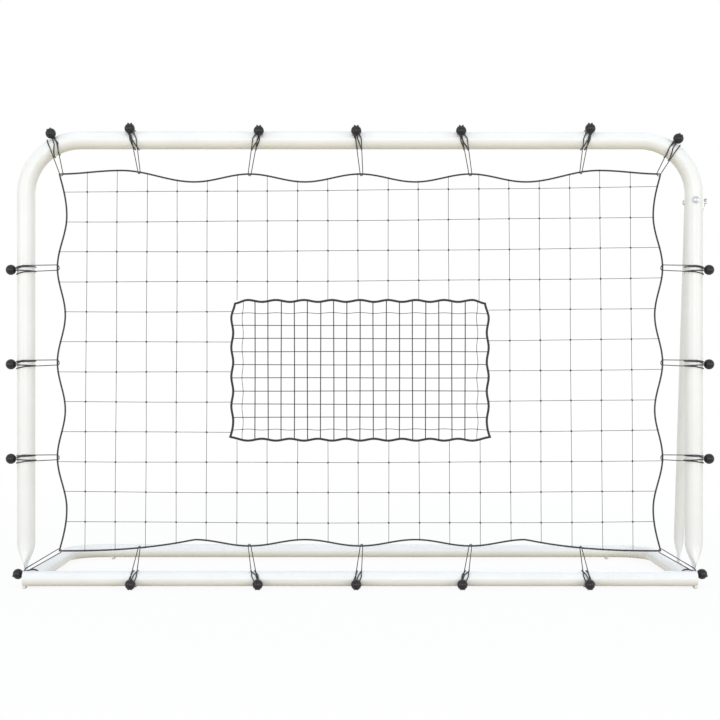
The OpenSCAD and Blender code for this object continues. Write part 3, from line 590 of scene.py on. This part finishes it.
def cords(
    name, lines, radius, material, body, replaced=(), closed=False, sides=3, radii=None
):
    """One mesh of round cords along lines of points. U runs along a cord, and v round it."""
    data = bpy.data.curves.new(name, "CURVE")
    data.dimensions = "3D"
    data.bevel_depth = radius
    data.bevel_resolution = sides
    data.use_fill_caps = True
    for k, line in enumerate(lines):
        spline = data.splines.new("POLY")
        spline.points.add(len(line) - 1)
        for i, point in enumerate(line):
            spline.points[i].co = (*point, 1)
            if radii:
                spline.points[i].radius = radii[k][i]
        spline.use_cyclic_u = closed
        spline.use_smooth = True
    drawn = bpy.data.objects.new(name + "_line", data)
    mesh = bpy.data.meshes.new_from_object(drawn)
    bpy.data.objects.remove(drawn)
    mesh.name = name
    mesh.materials.clear()
    return placed(name, mesh, material, body, replaced)


def braided(name, dark, light, length, pitch, carriers, roughness, depth):
    """Braid of so many carriers, crossed once in each pitch, on cords of one mean length, with
    painted shade in its grooves and painted light on its crowns.
    """
    made, nodes, links, skin = shader(name, dark, roughness)
    skin.inputs["Sheen Weight"].default_value = 0.25
    skin.inputs["Sheen Roughness"].default_value = 0.4
    place = nodes.new("ShaderNodeTexCoord")
    apart = nodes.new("ShaderNodeSeparateXYZ")
    links.new(place.outputs["UV"], apart.inputs[0])
    along = calculated(nodes, links, "MULTIPLY", apart.outputs[0], math.tau * length / pitch)
    waves = []
    for lean in (1, -1):
        turns = lean * math.tau * carriers
        turn = calculated(nodes, links, "MULTIPLY_ADD", apart.outputs[1], turns, along)
        waves.append(calculated(nodes, links, "SINE", turn))
    over = calculated(nodes, links, "MAXIMUM", *waves)
    # Painted shade and light: the colour runs darker in the grooves between the carriers and
    # lighter on their crowns, where light falls.
    shaded(nodes, links, skin, over, 0.1, 1.0, dark, light)
    bumpy(nodes, links, skin, over, strength=0.8, depth=depth)
    return made


across = span(-net_half_w, net_half_w, border_steps)
down_side = span(net_high, net_low, border_side_steps)
back = span(net_half_w, -net_half_w, border_steps)
up_side = span(net_low, net_high, border_side_steps)
border_path = [(x, net_y, top_line(x)) for x in across]
border_path += [(side_line(z), net_y, z) for z in down_side]
border_path += [(x, net_y, bottom_line(x)) for x in back]
border_path += [(-side_line(z), net_y, z) for z in up_side]
# The two colours are the black braid with painted shade in its grooves and painted light on its
# crowns.
border_braid = braided(
    "border_braid", (0.010, 0.010, 0.011), (0.045, 0.045, 0.048), length=5.3, pitch=0.010,
    carriers=4, roughness=0.62, depth=0.0004,
)
cords(
    "border_rope", [border_path], border_r, border_braid, "net_frame",
    ["net_border"], closed=True, sides=5,
)

# ---------------------------------------------------------------- main net
# The net is knotted from grey twine on an 80 mm square mesh. A small knot sits at every
# crossing, and the end of every line is hitched round the border cord.

mesh_x = 0.0805
mesh_z = 0.0801
lines_x = 19
lines_z = 12
upright_steps = 32
level_steps = 48
shift_x = -0.0045
shift_z = 0.017
twine_r = 0.0007
knot_r = 0.0027
hitch_r = border_r + 0.0005
yarns = 3

upright_x = [shift_x + (i - (lines_x - 1) / 2) * mesh_x for i in range(lines_x)]
level_z = [net_mid + shift_z + (i - (lines_z - 1) / 2) * mesh_z for i in range(lines_z)]


def spun_twine(name, dark, light, length, pitch, roughness):
    """Twine laid up from a few yarns, which wind round it once in each pitch, with painted
    shade between the yarns and painted light on them.
    """
    made, nodes, links, skin = shader(name, dark, roughness)
    place = nodes.new("ShaderNodeTexCoord")
    apart = nodes.new("ShaderNodeSeparateXYZ")
    links.new(place.outputs["UV"], apart.inputs[0])
    along = calculated(nodes, links, "MULTIPLY", apart.outputs[0], math.tau * length / pitch)
    turns = yarns * math.tau
    turn = calculated(nodes, links, "MULTIPLY_ADD", apart.outputs[1], turns, along)
    lay = calculated(nodes, links, "SINE", turn)
    # Painted shade and light: the colour runs darker in the grooves between the yarns and
    # lighter on their crowns, where light falls.
    shaded(nodes, links, skin, lay, 0.0, 1.0, dark, light)
    bumpy(nodes, links, skin, lay, strength=0.7, depth=0.0003)
    return made


# How far hand tension draws the mesh off true along its top and its bottom edge, aside and
# up: the same everywhere, with the place across, and with its square.
aside_at_top = (-0.0013, -0.0008, 0.0030)
aside_at_bottom = (0.0005, 0.0077, 0.0016)
rise_at_top = (0.0024, 0.0077, 0.0021)
rise_at_bottom = (-0.0051, -0.0009, 0.0040)
drift_depth = 0.0005


def bent(amounts, across):
    return amounts[0] + amounts[1] * across + amounts[2] * across**2


def pull(x, z):
    """How far the mesh is drawn off true at a place: aside and up."""
    across = x / net_half_w
    up = (z - net_low) / (net_high - net_low)
    aside, rise = bent(aside_at_bottom, across), bent(rise_at_bottom, across)
    aside += (bent(aside_at_top, across) - aside) * up
    rise += (bent(rise_at_top, across) - rise) * up
    return aside, rise


def drift(i, t):
    """The small bow that a hand-knotted line keeps."""
    return drift_depth * math.sin(2.3 * i + 9 * t)


def upright(i, z):
    return upright_x[i] + pull(upright_x[i], z)[0] + drift(i, z)


def level(j, x):
    return level_z[j] + pull(x, level_z[j])[1] + drift(j, x)


def crossing(i, j):
    x = upright(i, level_z[j])
    z = level(j, x)
    return upright(i, z), net_y, z


def knots(places, radius, stretch):
    """A small lump at each place, each twisted another way."""
    bm = bmesh.new()
    for k, place in enumerate(places):
        twist = Matrix.Rotation(math.radians(45 + 23 * (k % 5)), 4, "Y")
        shape = Matrix.Diagonal((*stretch, 1))
        bmesh.ops.create_icosphere(
            bm, subdivisions=2, radius=radius, matrix=Matrix.Translation(place) @ twist @ shape
        )
    return bm


target_half_w = 0.346
target_half_h = 0.1905
target_z = net_mid - 0.021
target_low_z = target_z - target_half_h
target_top_z = target_z + target_half_h
tuck_x = 0.003
tuck_z = 0.004


def parts(low, high, gap_low, gap_high, gap):
    """A line's stretches: whole, or up to the target and on from its other side."""
    if not gap:
        return [(low, high)]
    return [(low, gap_low), (gap_high, high)]


twine_lines = []
hitches = []
for i, x in enumerate(upright_x):
    low = bottom_line(upright(i, net_low))
    high = top_line(upright(i, net_high))
    behind = abs(x) < target_half_w
    for a, b in parts(low, high, target_low_z + tuck_z, target_top_z - tuck_z, behind):
        heights = span(a, b, upright_steps) + [b]
        twine_lines.append([(upright(i, z), net_y, z) for z in heights])
    hitches += [(upright(i, low), net_y, low), (upright(i, high), net_y, high)]
for j, z in enumerate(level_z):
    left = -side_line(level(j, -net_half_w))
    right = side_line(level(j, net_half_w))
    behind = abs(z - target_z) < target_half_h
    for a, b in parts(left, right, tuck_x - target_half_w, target_half_w - tuck_x, behind):
        places = span(a, b, level_steps) + [b]
        twine_lines.append([(x, net_y, level(j, x)) for x in places])
    hitches += [(left, net_y, level(j, left)), (right, net_y, level(j, right))]
# The two colours are the grey twine with painted shade between its yarns and painted light on
# them.
net_twine = spun_twine(
    "net_twine", (0.050, 0.051, 0.051), (0.085, 0.085, 0.085), length=0.8, pitch=0.0045,
    roughness=0.7,
)
cords("net_lines", twine_lines, twine_r, net_twine, "net_frame", ["net"], sides=2)

knot_yarn, nodes, links, skin = shader("knot_yarn", (0.05, 0.05, 0.052), roughness=0.75)
fibre = grain(nodes, links, scale=1500, detail=2.0)
shaded(
    nodes, links, skin, fibre, 0.3, 0.7,
    dark=(0.020, 0.020, 0.021), light=(0.055, 0.055, 0.056),
)
bumpy(nodes, links, skin, fibre, strength=0.8, depth=0.0006)
crossings = [
    crossing(i, j)
    for i in range(lines_x)
    for j in range(lines_z)
    if abs(upright_x[i]) > target_half_w or abs(level_z[j] - target_z) > target_half_h
]
net_knots = knots(crossings, knot_r, stretch=(1.15, 0.9, 0.85))
piece("net_knots", net_knots, knot_yarn, "net_frame")
border_hitches = knots(hitches, hitch_r, stretch=(1.0, 1.0, 1.0))
piece("border_hitches", border_hitches, knot_yarn, "net_frame")

# ---------------------------------------------------------------- target
# A finer net of thicker black twine, 35 mm mesh, fills a window in the middle of the main
# one. Its own cord runs round it in small waves, one to about every second mesh.

target_mesh = 0.035
target_across = 19
target_up = 10
target_rope_r = 0.0031
target_wave = 0.005
target_pitch = 0.0747
target_side_pitch = 0.0782
target_corner = 0.0096
target_flare = 0.0045
target_in_front = 0.0030
target_y = net_y - target_in_front
last_crest = 4 * target_pitch
corner_height = target_half_h - target_corner
first_bulge = 0.0416
last_trough = first_bulge + 3.5 * target_side_pitch
target_top_x = target_half_w - target_corner
target_low_x = target_half_w + target_flare
target_steps = 200
target_side_steps = 90
target_twine_r = 0.00135
target_knot_r = 0.0019
grid_sag = 0.0026
drawn_in = 0.0025
upright_slack = 0.0016
level_slack = 0.0012
twine_up_steps = 60
twine_across_steps = 110


def target_edge(x, corner_x):
    """Height of the target's top over its middle, or depth of its bottom under it."""
    x = abs(x)
    if x <= last_crest:
        return target_half_h - target_wave * wave(x, target_pitch)
    return target_half_h - target_corner * swell(x, last_crest, corner_x)


def target_side(z):
    t = target_z + corner_height - z
    if t < first_bulge:
        return target_half_w - target_corner * (1 - swell(t, 0, first_bulge))
    if t < last_trough:
        return target_half_w - target_wave * wave(t - first_bulge, target_side_pitch)
    run = (t - last_trough) / (2 * corner_height - last_trough)
    return target_half_w - target_wave + (target_wave + target_flare) * run**2


def target_top(x):
    return target_z + target_edge(x, target_top_x) - target_rope_r


def target_bottom(x):
    return target_z - target_edge(x, target_low_x) + target_rope_r


high_z = target_z + corner_height - target_rope_r
low_z = target_z - corner_height + target_rope_r
low_x = target_low_x - target_rope_r
high_x = target_rope_r - target_top_x
along_top = span(high_x, target_top_x, target_steps)
down_side = span(high_z, low_z, target_side_steps)
along_bottom = span(low_x, -target_low_x, target_steps)
up_side = span(low_z, high_z, target_side_steps)
target_path = [(x, target_y, target_top(x)) for x in along_top]
target_path += [(target_side(z) - target_rope_r, target_y, z) for z in down_side]
target_path += [(x, target_y, target_bottom(x)) for x in along_bottom]
target_path += [(target_rope_r - target_side(z), target_y, z) for z in up_side]
# The two colours are the black braid with painted shade in its grooves and painted light on its
# crowns.
target_braid = braided(
    "target_braid", (0.007, 0.007, 0.008), (0.028, 0.028, 0.030), length=2.15, pitch=0.009,
    carriers=4, roughness=0.62, depth=0.0004,
)
cords(
    "target_rope", [target_path], target_rope_r, target_braid, "net_frame",
    ["target_border"], closed=True, sides=5,
)

grid_z = target_z - grid_sag
target_x = [(i - (target_across - 1) / 2) * target_mesh for i in range(target_across)]
target_levels = [grid_z + (i - (target_up - 1) / 2) * target_mesh for i in range(target_up)]
for lines in (target_x, target_levels):
    lines[0] += drawn_in
    lines[-1] -= drawn_in


def target_upright(i, z):
    """The outermost lines are slack and follow the border's waves a little."""
    slack = upright_slack * math.sin(math.tau * (z - target_z) / target_side_pitch)
    return target_x[i] + drift(i, z) + (slack if i in (0, target_across - 1) else 0)


def target_level(j, x):
    slack = level_slack * math.cos(math.tau * x / target_pitch)
    return target_levels[j] + drift(j, x) + (slack if j in (0, target_up - 1) else 0)


upright_lines = []
upright_radii = []
level_lines = []
level_radii = []
for i, x in enumerate(target_x):
    low, high = target_bottom(x), target_top(x)
    heights = span(low, high, twine_up_steps) + [high]
    thickness = 0.55 if i in (0, target_across - 1) else 1
    upright_lines.append([(target_upright(i, z), target_y, z) for z in heights])
    upright_radii.append([thickness] * len(heights))
for j, z in enumerate(target_levels):
    reach = target_side(z) - target_rope_r
    places = span(-reach, reach, twine_across_steps) + [reach]
    thickness = 0.6 if j in (0, target_up - 1) else 0.8
    level_lines.append([(x, target_y, target_level(j, x)) for x in places])
    level_radii.append([thickness] * len(places))
# The two colours are the black twine with painted shade between its yarns and painted light on
# them.
target_twine = spun_twine(
    "target_twine", (0.030, 0.030, 0.031), (0.055, 0.055, 0.056), length=0.5, pitch=0.005,
    roughness=0.7,
)
cords(
    "target_lines", upright_lines + level_lines, target_twine_r, target_twine,
    "net_frame", ["target_net"], sides=2, radii=upright_radii + level_radii,
)
crossings = [
    (target_upright(i, z), target_y, target_level(j, x))
    for i, x in enumerate(target_x)
    for j, z in enumerate(target_levels)
]
target_knots = knots(crossings, target_knot_r, stretch=(1.1, 0.85, 0.9))
piece("target_knots", target_knots, knot_yarn, "net_frame")

# ---------------------------------------------------------------- elastics
# Twenty loops of black braided elastic. Both strands of a loop start in its ball, go once
# round the tube and on to the net, where the loop's end is hitched round the border cord.

top_z = 1.196
bend_r = 0.146
bend_x = post_x - bend_r
bend_z = top_z - bend_r
side_tube_x = 0.8742
base_r = 0.020
ball_r = 0.014
cord_r = 0.0015
free_r = 0.0012
skin_gap = 0.0001
strand_aside = 0.0019
strand_end = 0.008
past_ball = 0.001
turn_steps = 48
run_steps = 8
thinned_over = 3
hitch_steps = 12
thinned = free_r / cord_r
hitch_reach = 0.71 * 2 * border_r + free_r + 0.0002
frame_orbit = post_r + cord_r + skin_gap
base_orbit = base_r + cord_r + skin_gap
frame_ball_orbit = post_r + ball_r + 0.0019
base_ball_orbit = base_r + ball_r + 0.0018
foot_ball_orbit = base_ball_orbit + 0.0035
front = Vector((0, -1, 0))
upwards = Vector((0, 0, 1))


def along_tube(a, a0, am, a1, lat):
    """Place along the tube at angle a: it runs straight up the front from the contact past
    the ball, goes round behind, and runs straight up again from below into the ball."""
    below = 1.5 * math.pi
    if a < am:
        run = (math.sin(a) - math.sin(a0)) / (math.sin(am) - math.sin(a0))
        return lat[0] + (lat[1] - lat[0]) * run
    if a < below:
        return lat[1] + (lat[2] - lat[1]) * eased((a - am) / (below - am))
    run = (math.sin(a) + 1) / (math.sin(a1) + 1)
    return lat[2] + (lat[3] - lat[2]) * run


def tube_strand(orbit, ball, ball_a, lat, hook, side, bow, lift=0.0):
    """From inside the ball, round the tube, to the border: points in the tube's own frame."""
    stem = math.acos(orbit / ball)
    leave = math.atan2(hook.z, hook.y) + math.acos(orbit / math.hypot(hook.y, hook.z))
    last = math.tau + ball_a - stem
    way = Vector((0, -math.sin(last), math.cos(last)))
    middle = Vector((side * strand_aside, ball * math.cos(ball_a), ball * math.sin(ball_a)))
    points = [middle + way * (ball_r - strand_end), middle, middle - way * (ball_r + past_ball)]
    radii = [1, 1, 1]
    for i in range(turn_steps, -1, -1):
        a = leave + (last - leave) * i / turn_steps
        u = along_tube(a, leave, ball_a, last, lat)
        r = orbit + lift * (1 - eased(min(1, (a - leave) / math.pi)))
        points.append(Vector((u, r * math.cos(a), r * math.sin(a) - bow * u * u)))
        radii.append(1)
    start = points[-1]
    for i in range(1, run_steps + 1):
        points.append(start.lerp(hook, i / run_steps))
        radii.append(1 + (thinned - 1) * min(1, i / thinned_over))
    return points, radii


def loop_round(place, hook, orbit, ball, ball_a, lats, split, down, bow=0.0, lift=0.0):
    """The whole loop in the object's frame: place is [centre, along, front, outwards]."""
    first, first_radii = tube_strand(orbit, ball, ball_a, lats[0], hook - split, -1, bow)
    second, second_radii = tube_strand(
        orbit, ball, ball_a, lats[1], hook + split, 1, bow, lift
    )
    turn = []
    for i in range(1, hitch_steps):
        a = math.pi * i / hitch_steps
        turn.append(hook - split * math.cos(a) + down * math.sin(a))
    points = first + turn + second[::-1]
    radii = first_radii + [thinned] * len(turn) + second_radii[::-1]
    centre, u, f, o = place
    return [centre + u * p.x + f * p.y + o * p.z for p in points], radii


def in_tube(point, place):
    centre, u, f, o = place
    v = point - centre
    return Vector((v.dot(u), v.dot(f), v.dot(o)))


# Where each strand lies along its tube, at the front contact, past the ball, below behind
# and in the ball: a share of the hook's place along the tube, and a shift.
near_strand = ((0.285, -0.0094), (0.125, -0.0064), (0.60, -0.0055), (0.0, -0.0068))
far_strand = ((0.50, 0.0085), (0.275, 0.0129), (0.68, 0.0070), (0.10, 0.0020))


def frame_loop(place, border_point, orbit, ball, ball_a, spread, bow):
    """A loop whose strands meet the border cord at two places, spread to each side."""
    hook = in_tube(border_point, place)
    leave = math.atan2(hook.z, hook.y) + math.acos(orbit / math.hypot(hook.y, hook.z))
    split = Vector((spread, -hitch_reach * math.cos(leave), -hitch_reach * math.sin(leave)))
    down = Vector((0, math.sin(leave), -math.cos(leave))) * hitch_reach
    lats = [
        [share * hook.x + shift for share, shift in strand]
        for strand in (near_strand, far_strand)
    ]
    return loop_round(place, hook, orbit, ball, ball_a, lats, split, down, bow)


side_lift = 0.005
foot_behind_bar = 0.018


# A place is the tube's centre there and three directions: along the tube, to the front and
# outwards.
def top_place(x, way, shift):
    return Vector((x + way * shift, post_y, top_z)), Vector((way, 0, 0)), front, upwards


def bottom_place(x, way, shift):
    return Vector((x + way * shift, bar_y, ground_axis)), Vector((way, 0, 0)), front, -upwards


def side_place(side, h):
    centre = Vector((side * post_x, post_y, net_mid + h - side_lift))
    return centre, -upwards, front, Vector((side, 0, 0))


def bend_place(side, degrees):
    a = math.radians(degrees)
    out = Vector((side * math.sin(a), 0, math.cos(a)))
    centre = Vector((side * bend_x, post_y, bend_z)) + out * bend_r
    return centre, Vector((side * math.cos(a), 0, -math.sin(a))), front, out


def foot_place(side):
    centre = Vector((side * side_tube_x, bar_y + foot_behind_bar, ground_axis))
    return centre, -front, upwards, Vector((side, 0, 0))


top_ball_a, outer_ball_a, bend_ball_a, side_ball_a, corner_ball_a = (
    math.radians(a) for a in (31, 43, 52, 74, 76)
)
bottom_ball_a = math.asin((ground_axis - ball_r - 0.0006) / base_ball_orbit)
middle_hook = 0.004
top_corner_x = net_half_w - 0.0058
row_spread = 0.0035
bend_spread = 0.0052
side_spread = 0.0068
bend_bow = 0.5 / bend_r

# Each site is a place, the point of the border, the ball's angle, the spread and the bow.
top_sites = [
    (bend_place(side, degrees), Vector((side * top_corner_x, net_y, net_high)), bend_ball_a,
     bend_spread, bend_bow)
    for side, degrees in ((-1, 25), (1, 34))
]
for x, way, shift, ball_a in (
    (-2 * hook_x, -1, 0.025, outer_ball_a), (-hook_x, 1, 0.025, top_ball_a),
    (middle_hook, -1, 0.014, top_ball_a), (hook_x, -1, 0.025, top_ball_a),
    (2 * hook_x, 1, 0.025, outer_ball_a),
):
    border_point = Vector((x, net_y, top_line(x)))
    top_sites.append((top_place(x, way, shift), border_point, ball_a, row_spread, 0.0))
bottom_sites = []
for x, way, shift in (
    (-2 * hook_x, -1, 0.016), (-hook_x, 1, 0.025), (middle_hook, -1, 0.014),
    (hook_x, -1, 0.025), (2 * hook_x, 1, 0.016),
):
    border_point = Vector((x, net_y, bottom_line(x)))
    bottom_sites.append(
        (bottom_place(x, way, shift), border_point, bottom_ball_a, row_spread, 0.0)
    )
side_sites = {}
for name, side in (("left", -1), ("right", 1)):
    side_sites[name] = [
        (side_place(side, h), Vector((side * side_line(net_mid + h), net_y, net_mid + h)),
         side_ball_a, side_spread, 0.0)
        for h in (hook_z, 0, -hook_z)
    ]


def frame_loops(sites, orbit, ball):
    """The lines of the loops at the sites, and the radii along them."""
    made = [
        frame_loop(place, border_point, orbit, ball, ball_a, spread, bow)
        for place, border_point, ball_a, spread, bow in sites
    ]
    return [m[0] for m in made], [m[1] for m in made]


# The two colours are the black braid with painted shade in its grooves and painted light on its
# crowns.
elastic_braid = braided(
    "elastic_braid", (0.008, 0.008, 0.009), (0.050, 0.050, 0.052), length=0.62, pitch=0.006,
    carriers=4, roughness=0.55, depth=0.0003,
)
for name, sites in (("top", top_sites), *side_sites.items()):
    lines, radii = frame_loops(sites, frame_orbit, frame_ball_orbit)
    cords(
        f"loops_{name}", lines, cord_r, elastic_braid, "net_frame",
        [f"elastics_{name}"], radii=radii,
    )
lines, radii = frame_loops(bottom_sites, base_orbit, base_ball_orbit)

# The two lower corner loops go round the side tubes, just behind the front bar.
foot_lats = ((0.0055, 0.0055, 0.0050, 0.0030), (0.0100, 0.0105, 0.0090, 0.0050))
foot_reach = 0.0056
foot_split = Vector((0, 0.86, 0.51)) * foot_reach
foot_down = Vector((0, 0.51, -0.86)) * foot_reach
foot_lift = 0.0085
for side in (-1, 1):
    place = foot_place(side)
    hook = in_tube(Vector((side * net_half_w, net_y, net_low)), place)
    line, radius = loop_round(
        place, hook, base_orbit, foot_ball_orbit, corner_ball_a, foot_lats, foot_split,
        foot_down, lift=foot_lift,
    )
    lines.append(line)
    radii.append(radius)
bottom_loops = cords(
    "loops_bottom", lines, cord_r, elastic_braid, None, ["elastics_bottom"],
    radii=radii,
)
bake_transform(bottom_loops)

# ---------------------------------------------------------------- balls
# Twenty black plastic balls, 28 mm, each moulded with a bore for its two strands that
# widens at the outer end to take the crimped ends.

bore_r = 0.0044
counterbore_r = 0.0063
counterbore_depth = 0.008
lip = 0.0007
shoulder = 0.0005
arc_steps = 24


def ball_frame(place, orbit, ball, ball_a):
    """Stands a ball beside its tube with Z along its bore."""
    centre, u, f, o = place
    a = ball_a - math.acos(orbit / ball)
    bore = o * math.cos(a) - f * math.sin(a)
    middle = centre + f * (ball * math.cos(ball_a)) + o * (ball * math.sin(ball_a))
    stand = Matrix((u, bore.cross(u), bore)).transposed().to_4x4()
    return Matrix.Translation(middle) @ stand


def sphere_height(radius):
    return math.sqrt(ball_r**2 - radius**2)


low_edge = math.degrees(math.acos((bore_r + lip) / ball_r))
high_edge = math.degrees(math.acos((counterbore_r + lip) / ball_r))
ball_profile = [(bore_r, -sphere_height(bore_r) + lip)]
for i in range(arc_steps + 1):
    a = math.radians(-low_edge + (low_edge + high_edge) * i / arc_steps)
    ball_profile.append((ball_r * math.cos(a), ball_r * math.sin(a)))
ball_profile += [
    (counterbore_r, sphere_height(counterbore_r) - lip),
    (counterbore_r, ball_r - counterbore_depth),
    (bore_r, ball_r - counterbore_depth - shoulder),
]

ball_gloss, nodes, links, skin = shader("ball_gloss", (0.008, 0.008, 0.009), roughness=0.24)
skin.inputs["Specular IOR Level"].default_value = 0.38
scuff = grain(nodes, links, scale=220, detail=4.0)
links.new(ranged(nodes, links, scuff, low=0.18, high=0.36), skin.inputs["Roughness"])
shaded(
    nodes, links, skin, scuff, 0.35, 0.75,
    dark=(0.006, 0.006, 0.007), light=(0.014, 0.014, 0.015),
)
bumpy(nodes, links, skin, scuff, strength=0.10, depth=0.0003)


def stands_at(sites, cord_axis, ball):
    """The balls stand square to the winding in the CAD model, a little off the drawn one."""
    return [ball_frame(site[0], cord_axis, ball, site[2]) for site in sites]


base_cord_axis = 0.0223 / facet
foot_sites = [(foot_place(side), None, corner_ball_a) for side in (-1, 1)]
ball_stands = {
    "top": stands_at(top_sites, frame_cord_axis, frame_ball_orbit),
    "left": stands_at(side_sites["left"], frame_cord_axis, frame_ball_orbit),
    "right": stands_at(side_sites["right"], frame_cord_axis, frame_ball_orbit),
    "bottom": stands_at(bottom_sites, base_cord_axis, base_ball_orbit)
    + stands_at(foot_sites, base_cord_axis, foot_ball_orbit),
}


def copies(profile, stands, steps):
    """The lathed profile, once at each stand."""
    bm = bmesh.new()
    for stand in stands:
        before = set(bm.verts)
        lathed(bm, profile, steps)
        fresh = [v for v in bm.verts if v not in before]
        bmesh.ops.transform(bm, matrix=stand, verts=fresh)
    bmesh.ops.recalc_face_normals(bm, faces=bm.faces)
    return bm


for name, stands in ball_stands.items():
    body = "base" if name == "bottom" else "net_frame"
    balls = copies(ball_profile, stands, steps=48)
    piece(f"ball_row_{name}", balls, ball_gloss, body, [f"balls_{name}"])

# ---------------------------------------------------------------- crimped ends
# In the wide end of each bore the two ends of the elastic are crimped and knotted: two
# round black lobes side by side stand a little out of the ball.

lobe_r = 0.0031
lobe_shape = (1.0, 1.15, 1.6)
lobe_lean = 14
lobe_aside = 0.0036
lobe_out = 0.0108


def crimped(stands):
    bm = bmesh.new()
    for stand in stands:
        for side in (-1, 1):
            before = set(bm.verts)
            bmesh.ops.create_uvsphere(bm, u_segments=20, v_segments=12, radius=lobe_r)
            lobe = [v for v in bm.verts if v not in before]
            bmesh.ops.scale(bm, verts=lobe, vec=lobe_shape)
            leant = Matrix.Rotation(math.radians(side * lobe_lean), 3, "Y")
            bmesh.ops.rotate(bm, verts=lobe, cent=(0, 0, 0), matrix=leant)
            bmesh.ops.translate(bm, verts=lobe, vec=(side * lobe_aside, 0, lobe_out))
            bmesh.ops.transform(bm, matrix=stand, verts=lobe)
    bmesh.ops.recalc_face_normals(bm, faces=bm.faces)
    return bm


end_rubber = moulded(
    "end_rubber", (0.010, 0.010, 0.011), lighter=(0.030, 0.030, 0.032), roughness=0.45
)
frame_stands = ball_stands["top"] + ball_stands["left"] + ball_stands["right"]
frame_ends = crimped(frame_stands)
piece("crimps_frame", frame_ends, end_rubber, "net_frame", ["stops_frame"])
base_ends = crimped(ball_stands["bottom"])
piece("crimps_base", base_ends, end_rubber, "base", ["stops_base"])
